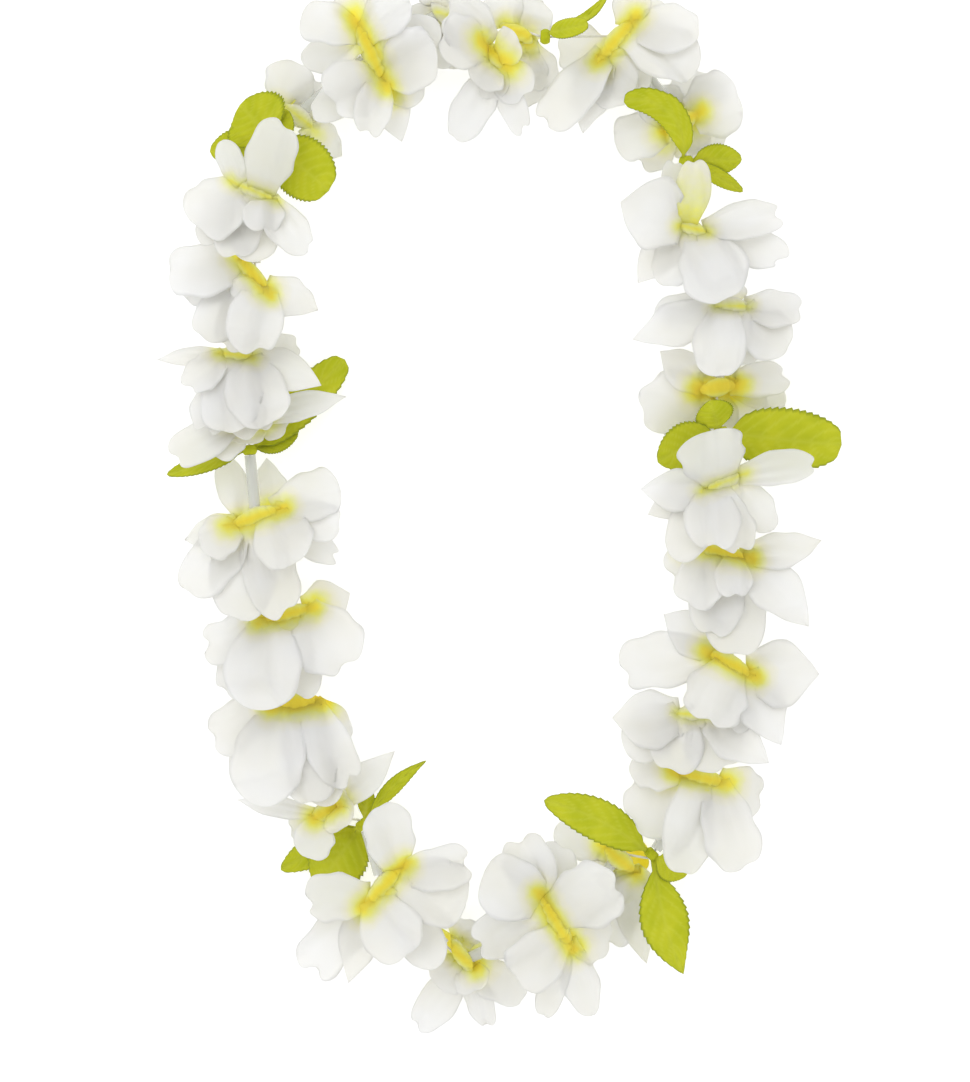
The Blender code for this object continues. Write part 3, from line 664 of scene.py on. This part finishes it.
def kept_in_cell(index, spot, height, order, floor):
    """Keep cloth on its own side of both dividing planes, off the straws and above the floor."""
    from_below = order * FOLD_STEP
    from_above = (TOP_ORDER - order) * FOLD_STEP
    centre = place(index)
    for other, pair, side in ((index + 1, index, 1), (index - 1, index - 1, -1)):
        over = over_next(pair) * side
        toward = (place(other) - centre).normalized()
        away = (spot - centre).dot(toward)
        lane = abs((spot - centre).cross(toward))
        fade = smooth_step(0.0, LANE_START, away)
        fade *= 1 - smooth_step(STRAW_HALF_LANE, LANE_EDGE, lane)
        if fade > 0 and over > 0:
            lowest = STRING_HEIGHT + STRAW_CLEARANCE + from_below
            height += fade * (soft_max(height, lowest) - height)
        elif fade > 0:
            highest = STRING_HEIGHT - STRAW_CLEARANCE - from_above
            height += fade * (soft_min(height, highest) - height)
    for pair, side in ((index, 1), (index - 1, -1)):
        over = over_next(pair) * side
        limit = dividing_plane(pair, spot) + over * PLANE_CLEARANCE
        if over > 0:
            height = soft_max(height, limit + from_below)
        else:
            height = soft_min(height, limit - from_above)
    return soft_max(height, floor + from_below)


def lie_of_blade(index, spot):
    """Height of the cloth at a spot: up over a lower neighbour, down below a higher one."""
    centre = place(index)
    height = STRING_HEIGHT
    for other, pair, side in ((index + 1, index, 1), (index - 1, index - 1, -1)):
        toward = (place(other) - centre).normalized()
        over = over_next(pair) * side
        away = max(0.0, (spot - centre).dot(toward))
        height += over * SLOPE * min(away, CLIMB_REACH)
        lane = abs((spot - centre).cross(toward))
        lift = STRAW_CLEARANCE * (1 - smooth_step(STRAW_HALF_LANE, STRAW_HALF_LANE + LANE_FADE, lane))
        height += over * lift * smooth_step(0.0, CLIMB_START, away)
    return height


def root_spread(index):
    """How far from its middle a station's blades start, along its throat."""
    if half_throat(index) == 0:
        return RING_SPREAD
    return min(MOST_SPREAD, max(LEAST_SPREAD, half_throat(index) - THROAT_END))


def root_offset(index, tip):
    """How far along its throat a blade starts: further out, the further aside its tip lies."""
    aside = (tip - place(index)).dot(fold_line(index))
    spread = root_spread(index)
    return spread * aside / (SPREAD_EASE * spread + abs(aside))


def centre_line(index, tip, bend, s):
    """Plan position and direction at a share s of the blade's length, along an arc."""
    aim = (tip - place(index)).normalized()
    root = place(index) + fold_line(index) * root_offset(index, tip) + aim * ROOT_AHEAD
    chord = tip - root
    turn = math.radians(bend if abs(bend) > LEAST_BEND else LEAST_BEND)
    now = turn * (s - 0.5)
    along = (math.sin(now) + math.sin(turn / 2)) / (2 * math.sin(turn / 2))
    sideways = (math.cos(turn / 2) - math.cos(now)) / (2 * math.sin(turn / 2))
    spot = root + chord * along + Vector((-chord.y, chord.x)) * sideways
    straight = chord.normalized()
    course_angle = math.atan2(straight.y, straight.x) + now
    return spot, Vector((math.cos(course_angle), math.sin(course_angle)))


def root_height(index, order, tip):
    """A blade leaves its middle above or below the hole, or straight out of its side."""
    ahead = (tip - place(index)).normalized().dot(heading(index))
    over = over_next(index) if ahead > 0 else -over_next(index - 1)
    share = over * smooth_step(*RUNS_ALONG, abs(ahead))
    step = ROOT_STEP * (order - TOP_ORDER / 2)
    if step * share < 0:
        step *= 1 - abs(share)
    if half_throat(index) == 0:
        return STRING_HEIGHT + (ROOT_LIFT * share + step) * RING_ROOT
    outward = root_offset(index, tip) / (root_spread(index) + HUB_END)
    room = ROOT_ROOM * math.sqrt(1 - outward * outward)
    return STRING_HEIGHT + min(room, max(-room, ROOT_LIFT * share + step))


def distance_to_throat(point, index):
    """Distance in plan from a point to the line of a bloom's throat."""
    first, second, _ = STATIONS[index]
    first = Vector(first)
    second = Vector(second)
    span = second - first
    share = min(1.0, max(0.0, (point - first).dot(span) / span.length_squared))
    return (point - first - span * share).length


def dye_at(spot, index, fade):
    """How far the dye has faded at a spot, in mm from the throat of a well dyed bloom."""
    return PALENESS.get(index, 0.0) + fade * distance_to_throat(spot, index)


def even_steps(count):
    """Evenly spaced places from -1 to 1."""
    return [2 * step / (count - 1) - 1 for step in range(count)]


def rounded_rows(count):
    """Shares of a blade's length, closer together towards its tip."""
    return [math.sin(math.pi / 2 * row / count) for row in range(count)]


def add_blade(bm, layers, grid, tip, shades, tip_shades):
    """Cloth over a grid of points that closes in one tip point. Each shade is (dye, edge, u, v)."""
    dye, edge, chart = layers
    rows = []
    for line, line_shades in zip(grid, shades):
        row = []
        for point, shade in zip(line, line_shades):
            vertex = bm.verts.new(point * MM)
            vertex[dye] = shade[0]
            vertex[edge] = shade[1]
            row.append((vertex, shade[2:]))
        rows.append(row)
    end = bm.verts.new(tip * MM)
    end[dye] = tip_shades[0]
    end[edge] = tip_shades[1]
    faces = []
    for near, far in zip(rows, rows[1:]):
        faces.extend(zip(near, near[1:], far[1:], far))
    for first, second in zip(rows[-1], rows[-1][1:]):
        faces.append((first, second, (end, tip_shades[2:])))
    for corners in faces:
        face = bm.faces.new([vertex for vertex, _ in corners])
        for loop, (_, place_on_cloth) in zip(face.loops, corners):
            loop[chart].uv = place_on_cloth


def petal_half_width(s, form):
    """Half width of a petal along its length, as a share of the widest place."""
    fall, fullness, _ = form
    swell = PETAL_FOOT + (1 - PETAL_FOOT) * smooth_step(0.0, PETAL_FULL, s)
    past = max(0.0, (s - PETAL_WIDEST) / (1 - PETAL_WIDEST))
    return swell * max(0.0, 1 - past ** fall) ** fullness


def in_turn(index, petals):
    """Petals in the order of their bearings from the middle of their bloom."""
    centre = place(index)
    return sorted(petals, key=lambda petal: math.atan2(petal[1] - centre.y, petal[0] - centre.x))


def petal_orders(count, layer):
    """Depths of a layer's petals: neighbours differ, and the last of an odd number lies between."""
    orders = [rank % 2 for rank in range(count)]
    if count % 2 and count > 1:
        orders[-1] = 0.5
    return [order + (0 if layer else FRONT_ORDER) for order in orders]


def add_petal(bm, layers, index, petal, rank, layer, order):
    """One petal: cupped, pleated at its foot, with a waved and slightly uneven edge."""
    x, y, width, form = petal
    tip = Vector((x, y))
    shared = random.Random(100 * index + layer)
    draw = random.Random(1000 * index + 10 * rank + layer)
    arch = shared.uniform(-2.0, -0.5) if layer else shared.uniform(1.0, 2.5)
    droop = shared.uniform(-18.0, -13.0) if layer else shared.uniform(-4.0, 2.0)
    droop += draw.uniform(-1.0, 1.0)
    cup = shared.uniform(0.3, 1.6) + draw.uniform(-0.2, 0.2)
    bank = draw.uniform(0.0, 0.04)
    bend = draw.uniform(-14.0, 14.0)
    wave = draw.uniform(0.5, 1.5)
    waves = draw.uniform(1.2, 2.4)
    phase = draw.uniform(0.0, FULL_TURN)
    lean = draw.uniform(-0.10, 0.10)
    notch = draw.choice((0.0, 0.04, 0.08, 0.12)) if form != POINTED else 0.0
    notch_place = draw.uniform(-0.3, 0.3)
    ragged = [(draw.uniform(2.0, 6.0), draw.uniform(0.0, FULL_TURN)) for _ in range(3)]
    pleats = draw.uniform(2.2, 3.4)
    pleat_phase = draw.uniform(0.0, FULL_TURN)
    fold = draw.uniform(0.2, 0.6)
    reach = (tip - place(index)).length
    start = root_height(index, order, tip)
    fade = form[2] * (BACK_FADE if layer else 1.0)

    def height_at(spot, s, w, half):
        if s == 0:
            return start
        shape = arch * math.sin(math.pi * s) + droop * s * s
        shape += cup * w * w * half / CUP_HALF_WIDTH + bank * w * half
        shape += (order - FRONT_ORDER) * LAYER_STEP * smooth_step(*LAYERS_PART, s)
        height = kept_in_cell(index, spot, lie_of_blade(index, spot) + shape, order, CLOTH)
        ripple = wave * abs(w) ** WAVE_POWER * smooth_step(*WAVES_GROW, s)
        height += ripple * (1 + math.sin(2 * math.pi * waves * s + phase + WAVE_SLANT * w)) / 2
        foot_folds = smooth_step(*FOLDS_GROW, s) * (1 - smooth_step(*FOLDS_FADE, s))
        height += fold * foot_folds * math.sin(math.pi * pleats * w + pleat_phase)
        return max(CLOTH, start + (height - start) * smooth_step(*FOOT_RISES, s))

    def cloth_point(s, w):
        uneven = 0.0
        for rate, shift in ragged:
            uneven += math.sin(rate * (s + STRAY_SLANT * w) * math.pi + shift)
        aside = (w * petal_half_width(s, form) - notch_place) / NOTCH_HALF_WIDTH
        short = notch * math.exp(-aside ** 2) * smooth_step(*NOTCH_OPENS, s)
        middle, aim = centre_line(index, tip, bend, s * (1 - short))
        side = Vector((-aim.y, aim.x))
        half = width / 2 * petal_half_width(s, form)
        offset = w * half * (1 + lean * w) * (1 + STRAY * uneven * smooth_step(*EDGE_STRAYS, s))
        spot = middle + side * offset
        return spot, height_at(spot, s, w, half), half

    grid = []
    shades = []
    for s in rounded_rows(PETAL_ROWS):
        line = []
        line_shades = []
        for w in even_steps(PETAL_COLUMNS):
            spot, height, half = cloth_point(s, w)
            line.append(Vector((spot.x, spot.y, height)))
            # Edge mask: the petal material paints a faint grey shade along the sides and tip from it
            border = max(abs(w), smooth_step(*BORDER_CLOSES, s))
            chart = (w * half / CHART_UNIT, s * reach / CHART_UNIT)
            line_shades.append((dye_at(spot, index, fade), border, *chart))
        grid.append(line)
        shades.append(line_shades)
    spot, height, _ = cloth_point(1.0, 0.0)
    tip_shades = (dye_at(spot, index, fade), 1.0, 0.0, reach / CHART_UNIT)
    add_blade(bm, layers, grid, Vector((spot.x, spot.y, height)), shades, tip_shades)


def add_gather(bm, layers, index, size, pleats, depth, draw_in, taper):
    """The gathered cloth round the string: a short pleated barrel, shorter towards its two sides."""
    dye, edge, chart = layers
    length, half_width, half_height = size
    aim = heading(index)
    across = fold_line(index).to_3d()
    points = pleats * POINTS_IN_PLEAT
    lean = random.Random(70 + index).uniform(-GATHER_LEAN, GATHER_LEAN)
    rings = []
    for t in even_steps(GATHER_RINGS):
        ring = []
        for n in range(points):
            angle = 2 * math.pi * n / points
            fold = 1 - depth * (0.5 + 0.5 * math.cos(pleats * angle + PLEAT_TURN * t))
            girth = fold * (1 - draw_in * t * t)
            side = half_width * girth * math.cos(angle)
            up = half_height * girth * math.sin(angle)
            reach = t * length / 2 * (1 - taper * math.cos(angle) ** 2)
            along = place(index) + aim * (reach + taper * lean * math.cos(angle) ** 2)
            spot = Vector((along.x, along.y, STRING_HEIGHT + up)) + across * side
            vertex = bm.verts.new(spot * MM)
            vertex[dye] = dye_at(spot.to_2d(), index, GATHER_FADE) if half_throat(index) else 0.0
            vertex[edge] = 0.0
            ring.append(vertex)
        rings.append(ring)
    for near, far in zip(rings, rings[1:]):
        for n in range(points):
            after = (n + 1) % points
            face = bm.faces.new((near[n], near[after], far[after], far[n]))
            for loop in face.loops:
                loop[chart].uv = (loop.vert.co.x * GATHER_CHART, loop.vert.co.y * GATHER_CHART)


def layer_value(tree, name):
    """What a layer of the mesh holds."""
    layer = tree.nodes.new("ShaderNodeAttribute")
    layer.attribute_name = name
    return layer.outputs["Fac"]


def mixed_colour(tree, share, first, second, blend="MIX"):
    """Two colours mixed or multiplied, each of them and the share a value or a node's output."""
    mix = tree.nodes.new("ShaderNodeMix")
    mix.data_type = "RGBA"
    mix.blend_type = blend
    for name, given in (("Factor", share), ("A", first), ("B", second)):
        feed(tree, given, mix.inputs[name])
    return mix.outputs["Result"]


def woven_bump(tree, directions, scale, distortion, strength, depth):
    """The normal of cloth with fine threads in each of the directions, raised by a depth in mm."""
    chart = tree.nodes.new("ShaderNodeUVMap")
    chart.uv_map = "cloth"
    height = 0.0
    for direction in directions:
        thread = tree.nodes.new("ShaderNodeTexWave")
        thread.bands_direction = direction
        thread.inputs["Scale"].default_value = scale
        thread.inputs["Distortion"].default_value = distortion
        tree.links.new(chart.outputs["UV"], thread.inputs["Vector"])
        height = calculated(tree, "ADD", height, thread.outputs["Fac"])
    bump = tree.nodes.new("ShaderNodeBump")
    bump.inputs["Strength"].default_value = strength
    bump.inputs["Distance"].default_value = depth * MM
    tree.links.new(height, bump.inputs["Height"])
    return bump.outputs["Normal"]


def let_light_through(tree, shader, colour, share):
    """Mix the shader with cloth that lets light through."""
    through = tree.nodes.new("ShaderNodeBsdfTranslucent")
    tree.links.new(colour, through.inputs["Color"])
    mixed = tree.nodes.new("ShaderNodeMixShader")
    mixed.inputs["Fac"].default_value = share
    tree.links.new(shader.outputs["BSDF"], mixed.inputs[1])
    tree.links.new(through.outputs["BSDF"], mixed.inputs[2])
    tree.links.new(mixed.outputs["Shader"], tree.nodes["Material Output"].inputs["Surface"])
    return through


def petal_material():
    """Thin woven cloth: off white, dyed golden at the throat through yellow and green to white, with
    painted shade along its edges.
    """
    material, tree, shader = new_material("petal_cloth")
    blots = noise_shade(tree, 170.0, 3.0)
    blotted = calculated(tree, "MULTIPLY_ADD", blots, 4.0, layer_value(tree, "dye"))
    faded = changed_range(tree, blotted, (2.0, 12.0), (0.0, 1.0))
    dyed = ramp_colour(tree, faded, (
        (0.0, (0.98, 0.88, 0.12)),
        (0.16, (0.97, 0.91, 0.16)),
        (0.32, (0.94, 0.94, 0.32)),
        (0.48, (0.93, 0.94, 0.62)),
        (0.70, (0.94, 0.935, 0.87)),
        (1.0, (0.935, 0.94, 0.955)),
    ))
    cloudy = ramp_colour(tree, noise_shade(tree, 38.0), (
        (0.35, (0.985, 0.98, 0.955)),
        (0.65, (1.0, 1.0, 1.0)),
    ))
    tinted = mixed_colour(tree, 1.0, dyed, cloudy, "MULTIPLY")
    # Painted shade: a faint grey line along each petal's sides and tip, where the cloth is seen edge-on
    border = changed_range(tree, layer_value(tree, "edge"), (0.90, 1.0), (0.0, 0.03))
    colour = mixed_colour(tree, border, tinted, (0.55, 0.55, 0.50, 1.0))
    normal = woven_bump(tree, "XY", scale=8.0, distortion=0.6, strength=0.25, depth=0.06)
    tree.links.new(colour, shader.inputs["Base Color"])
    tree.links.new(normal, shader.inputs["Normal"])
    shader.inputs["Roughness"].default_value = 0.8
    shader.inputs["Sheen Weight"].default_value = 0.15
    shader.inputs["Specular IOR Level"].default_value = 0.2
    warm = mixed_colour(tree, 1.0, colour, (1.0, 0.99, 0.95, 1.0), "MULTIPLY")
    through = let_light_through(tree, shader, warm, share=0.5)
    tree.links.new(normal, through.inputs["Normal"])
    return material


def cloth_object(name, bm, material, thickness):
    """Give the sheets their thickness and put the piece into the scene."""
    bmesh.ops.recalc_face_normals(bm, faces=bm.faces)
    mesh = bpy.data.meshes.new(name)
    bm.to_mesh(mesh)
    bm.free()
    mesh.materials.append(material)
    mesh.shade_smooth()
    thing = placed(name, mesh)
    shell = thing.modifiers.new("thickness", "SOLIDIFY")
    shell.thickness = thickness * MM
    shell.offset = 0.0
    return thing


def cloth_layers(bm):
    """The layers that the cloth materials read."""
    numbers = bm.verts.layers.float
    return numbers.new("dye"), numbers.new("edge"), bm.loops.layers.uv.new("cloth")


petal_cloth = petal_material()
for number, (station, (front, back)) in enumerate(sorted(PETALS.items()), 1):
    bm = bmesh.new()
    layers = cloth_layers(bm)
    for layer, petals in enumerate((front, back)):
        orders = petal_orders(len(petals), layer)
        for rank, (petal, order) in enumerate(zip(in_turn(station, petals), orders)):
            add_petal(bm, layers, station, petal, rank, layer, order)
    half_width = root_spread(station) + HUB_END
    pleat_count = round(half_width * PLEATS_PER_MM)
    size = (GATHER_LENGTH, half_width, GATHER_HALF_HEIGHT)
    add_gather(bm, layers, station, size, pleat_count, GATHER_PLEAT_DEPTH, GATHER_DRAW_IN,
               GATHER_TAPER)
    bloom = cloth_object("petals_{:02d}".format(number), bm, petal_cloth, CLOTH)
    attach(bloom, "root")
    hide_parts("bloom_{:02d}".format(number))

# Leaf sprays
# Two to four leaves of stiffer green cloth on one ring, their edges cut in fine teeth and their
# veins pressed in. Each spray is slipped on the string between two blooms.
LEAF_CLOTH = 0.4
RING_RADIUS = 3.2
RING_PLEATS = 8
RING_DRAW_IN = 0.3
RING_PLEAT_DEPTH = 0.08
RING_TAPER = 0.0
LEAF_COLUMNS = 17
LEAF_BANK = 0.05

# The pressed midrib and side veins: depths and half widths in mm, but a side vein's half width as
# a share of the distance between two, and how the side veins sweep to the tip
MIDRIB_DEPTH = 0.6
MIDRIB_HALF_WIDTH = 0.6
MIDRIB_PALE_HALF_WIDTH = 0.9
VEINS = 7
VEIN_DEPTH = 0.35
VEIN_HALF_WIDTH = 0.14
VEIN_SWEEP = 0.28
VEIN_POWER = 1.2

# Stretches of a leaf's length over which a thing grows, and of its half width over which veins fade
LEAF_FOOT_RISES = (0.0, 0.12)
LEAF_LAYERS_PART = (0.0, 0.3)
MIDRIB_GROWS = (0.05, 0.2)
VEINS_GROW = (0.12, 0.3)
VEINS_FADE = (0.8, 1.0)

# The teeth: how many, where along the leaf they start and the stretch that they take. Each pair is
# a share of the length, in TOOTH of one tooth's, and the share of the half width that is left.
TEETH = 13
TEETH_START = 0.17
TEETH_LENGTH = 0.79
TOOTH = ((0.0, 0.93), (0.4, 0.965), (0.8, 1.0))
STALK_ROWS = ((0.0, 1.0), (0.05, 1.0), (0.1, 1.0), (0.14, 1.0))
LAST_ROW = (0.975, 0.97)

# The stalk's share of a leaf's length, its width as a share of the leaf's, and how far the widest
# place leans to the foot
STALK_SHARE = 0.08
STALK_WIDTH = 0.12
LEAF_LEAN = 0.9

# Leaf outlines: the power of the sine that gives the half width
OVAL = 0.6
BLUNT = 0.35
SHARP = 1.0

# Each leaf as bearing in degrees, reach, width, bend and outline
LEAVES = {
    2: ((128, 22, 31, 20, OVAL), (181, 28, 17, 0, OVAL), (322, 31, 26, -10, BLUNT),
        (64, 16, 14, 0, OVAL)),
    7: ((45, 57, 19, 0, BLUNT), (20, 22, 12, -10, OVAL), (197, 37, 9, 0, OVAL)),
    12: ((235, 36, 27, 0, OVAL), (211, 43, 15, 0, OVAL), (45, 39, 7, -28, SHARP), (84, 17, 8, 0, OVAL)),
    17: ((151, 54, 18, 26, OVAL), (285, 54, 22, 20, SHARP), (330, 18, 14, 0, OVAL)),
    23: ((206, 30, 21, 10, OVAL), (115, 14, 17, 0, OVAL), (354, 53, 27, 6, BLUNT)),
    27: ((141, 36, 12, 112, BLUNT), (2, 24, 13, 0, OVAL), (334, 28, 7, 0, OVAL)),
    30: ((8, 18, 9, 16, BLUNT), (33, 33, 5, 60, SHARP)),
}


def leaf_half_width(s, fullness):
    """Half width of a leaf along its length, with a short stalk at its foot."""
    blade = min(1.0, max(0.0, (s - STALK_SHARE) / (1 - STALK_SHARE)))
    return max(STALK_WIDTH * (1 - s), math.sin(math.pi * blade ** LEAF_LEAN) ** fullness)


def tooth_rows():
    """Shares of a leaf's length, each with the share of its half width that the teeth leave."""
    rows = list(STALK_ROWS)
    for tooth in range(TEETH):
        start = TEETH_START + TEETH_LENGTH * tooth / TEETH
        for share, cut in TOOTH:
            rows.append((start + TEETH_LENGTH / TEETH * share, cut))
    rows.append(LAST_ROW)
    return rows


def add_leaf(bm, layers, index, leaf, number):
    """One leaf: a pressed midrib, curved side veins and an edge of fine teeth."""
    bearing, reach, width, bend, fullness = leaf
    angle = math.radians(bearing)
    tip = place(index) + reach * Vector((math.cos(angle), math.sin(angle)))
    draw = random.Random(500 + 10 * index + number)
    arch = draw.uniform(1.0, 3.0)
    droop = draw.uniform(-3.0, 1.0)
    cup = draw.uniform(1.0, 3.0)
    order = FRONT_ORDER - number % 2
    start = root_height(index, order, tip)

    def height_at(spot, s, w, half):
        if s == 0:
            return start
        shape = arch * math.sin(math.pi * s) + droop * s * s
        shape += cup * w * w * half / CUP_HALF_WIDTH + LEAF_BANK * w * half
        shape += (order - FRONT_ORDER) * LAYER_STEP * smooth_step(*LEAF_LAYERS_PART, s)
        height = kept_in_cell(index, spot, lie_of_blade(index, spot) + shape, order, CLOTH)
        midrib = math.exp(-(w * half / MIDRIB_HALF_WIDTH) ** 2)
        height -= MIDRIB_DEPTH * midrib * smooth_step(*MIDRIB_GROWS, s)
        height -= VEIN_DEPTH * vein(s, w) * smooth_step(*VEINS_GROW, s)
        return max(CLOTH, start + (height - start) * smooth_step(*LEAF_FOOT_RISES, s))

    def vein(s, w):
        place_in_veins = (s - VEIN_SWEEP * abs(w) ** VEIN_POWER) * VEINS
        off = abs(place_in_veins - round(place_in_veins))
        return math.exp(-(off / VEIN_HALF_WIDTH) ** 2) * (1 - smooth_step(*VEINS_FADE, abs(w)))

    grid = []
    shades = []
    for s, cut in tooth_rows():
        middle, aim = centre_line(index, tip, bend, s)
        side = Vector((-aim.y, aim.x))
        half = width / 2 * leaf_half_width(s, fullness) * cut
        line = []
        line_shades = []
        for w in even_steps(LEAF_COLUMNS):
            spot = middle + side * (w * half)
            line.append(Vector((spot.x, spot.y, height_at(spot, s, w, half))))
            pale = max(vein(s, w), math.exp(-(w * half / MIDRIB_PALE_HALF_WIDTH) ** 2))
            chart = (w * half / CHART_UNIT, s * reach / CHART_UNIT)
            line_shades.append((pale, abs(w), *chart))
        grid.append(line)
        shades.append(line_shades)
    middle, _ = centre_line(index, tip, bend, 1.0)
    point = Vector((middle.x, middle.y, height_at(middle, 1.0, 0.0, 0.0)))
    add_blade(bm, layers, grid, point, shades, (0.0, 1.0, 0.0, reach / CHART_UNIT))


def leaf_material():
    """Lime green cloth with paler veins, darker cut edges and a fine weave."""
    material, tree, shader = new_material("leaf_cloth")
    green = ramp_colour(tree, noise_shade(tree, 90.0, 4.0), (
        (0.3, (0.50, 0.55, 0.010)),
        (0.7, (0.63, 0.65, 0.025)),
    ))
    pale = changed_range(tree, layer_value(tree, "dye"), (0.0, 1.0), (0.0, 0.30))
    veined = mixed_colour(tree, pale, green, (0.74, 0.77, 0.10, 1.0))
    border = changed_range(tree, layer_value(tree, "edge"), (0.88, 1.0), (0.0, 0.6))
    colour = mixed_colour(tree, border, veined, (0.16, 0.22, 0.02, 1.0))
    normal = woven_bump(tree, ["DIAGONAL"], scale=9.0, distortion=1.0, strength=0.3, depth=0.08)
    tree.links.new(colour, shader.inputs["Base Color"])
    tree.links.new(normal, shader.inputs["Normal"])
    shader.inputs["Roughness"].default_value = 0.7
    shader.inputs["Sheen Weight"].default_value = 0.06
    shader.inputs["Specular IOR Level"].default_value = 0.2
    let_light_through(tree, shader, colour, share=0.18)
    return material


leaf_cloth = leaf_material()
for number, (station, leaves) in enumerate(sorted(LEAVES.items()), 1):
    bm = bmesh.new()
    layers = cloth_layers(bm)
    for count, leaf in enumerate(leaves):
        add_leaf(bm, layers, station, leaf, count)
    size = (RING_LENGTH, RING_RADIUS, RING_RADIUS)
    add_gather(bm, layers, station, size, RING_PLEATS, RING_PLEAT_DEPTH, RING_DRAW_IN, RING_TAPER)
    spray = cloth_object("leaves_{}".format(number), bm, leaf_cloth, LEAF_CLOTH)
    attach(spray, "root")
    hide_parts("leaf_spray_{}".format(number))

# Floor, light and camera
# A plain white floor under the lei, an even pale surround and one large soft lamp.
# The camera looks straight down, with the long way of the lei up in the picture.

# In metres: the floor's half width, its drop below the lei and the lamp's place
FLOOR_HALF = 4.0
FLOOR_DROP = 0.0002
LAMP_PLACE = (-0.7, 0.7, 1.3)

# In mm: the camera's place, the height of what it sees, its lens and its sensor
CAMERA_X = -7.1
CAMERA_Y = -13.4
PICTURE_HEIGHT = 468.5
LENS = 85.0
SENSOR = 36.0

floor_mesh = bpy.data.meshes.new("floor")
floor_corners = [(x * FLOOR_HALF, y * FLOOR_HALF, 0) for x, y in ((-1, -1), (1, -1), (1, 1), (-1, 1))]
floor_mesh.from_pydata(floor_corners, [], [(0, 1, 2, 3)])
floor_material, _, floor_shader = new_material("pale_floor")
floor_shader.inputs["Base Color"].default_value = (0.6, 0.6, 0.6, 1.0)
floor_shader.inputs["Roughness"].default_value = 0.9
floor_shader.inputs["Specular IOR Level"].default_value = 0.0
floor_shader.inputs["Emission Color"].default_value = (1.0, 1.0, 1.0, 1.0)
floor_shader.inputs["Emission Strength"].default_value = 0.6
floor_mesh.materials.append(floor_material)
floor = placed("floor", floor_mesh)
floor.location.z = -FLOOR_DROP

world = bpy.data.worlds.new("pale_surround")
world.use_nodes = True
surround = world.node_tree.nodes["Background"]
surround.inputs["Color"].default_value = (1.0, 1.0, 1.0, 1.0)
surround.inputs["Strength"].default_value = 0.99
bpy.context.scene.world = world

lamp_data = bpy.data.lights.new("soft_lamp", "AREA")
lamp_data.shape = "DISK"
lamp_data.size = 1.6
lamp_data.energy = 5.0
lamp = placed("soft_lamp", lamp_data)
lamp.location = LAMP_PLACE
lamp.rotation_euler = (-Vector(LAMP_PLACE)).to_track_quat("-Z", "Y").to_euler()

camera_data = bpy.data.cameras.new("camera")
camera_data.lens = LENS
camera_data.sensor_width = SENSOR
camera = placed("camera", camera_data)
camera.location = (
    CAMERA_X * MM,
    CAMERA_Y * MM,
    (PICTURE_HEIGHT * LENS / SENSOR + STRING_HEIGHT) * MM,
)
bpy.context.scene.camera = camera
bpy.context.scene.view_settings.view_transform = "Standard"
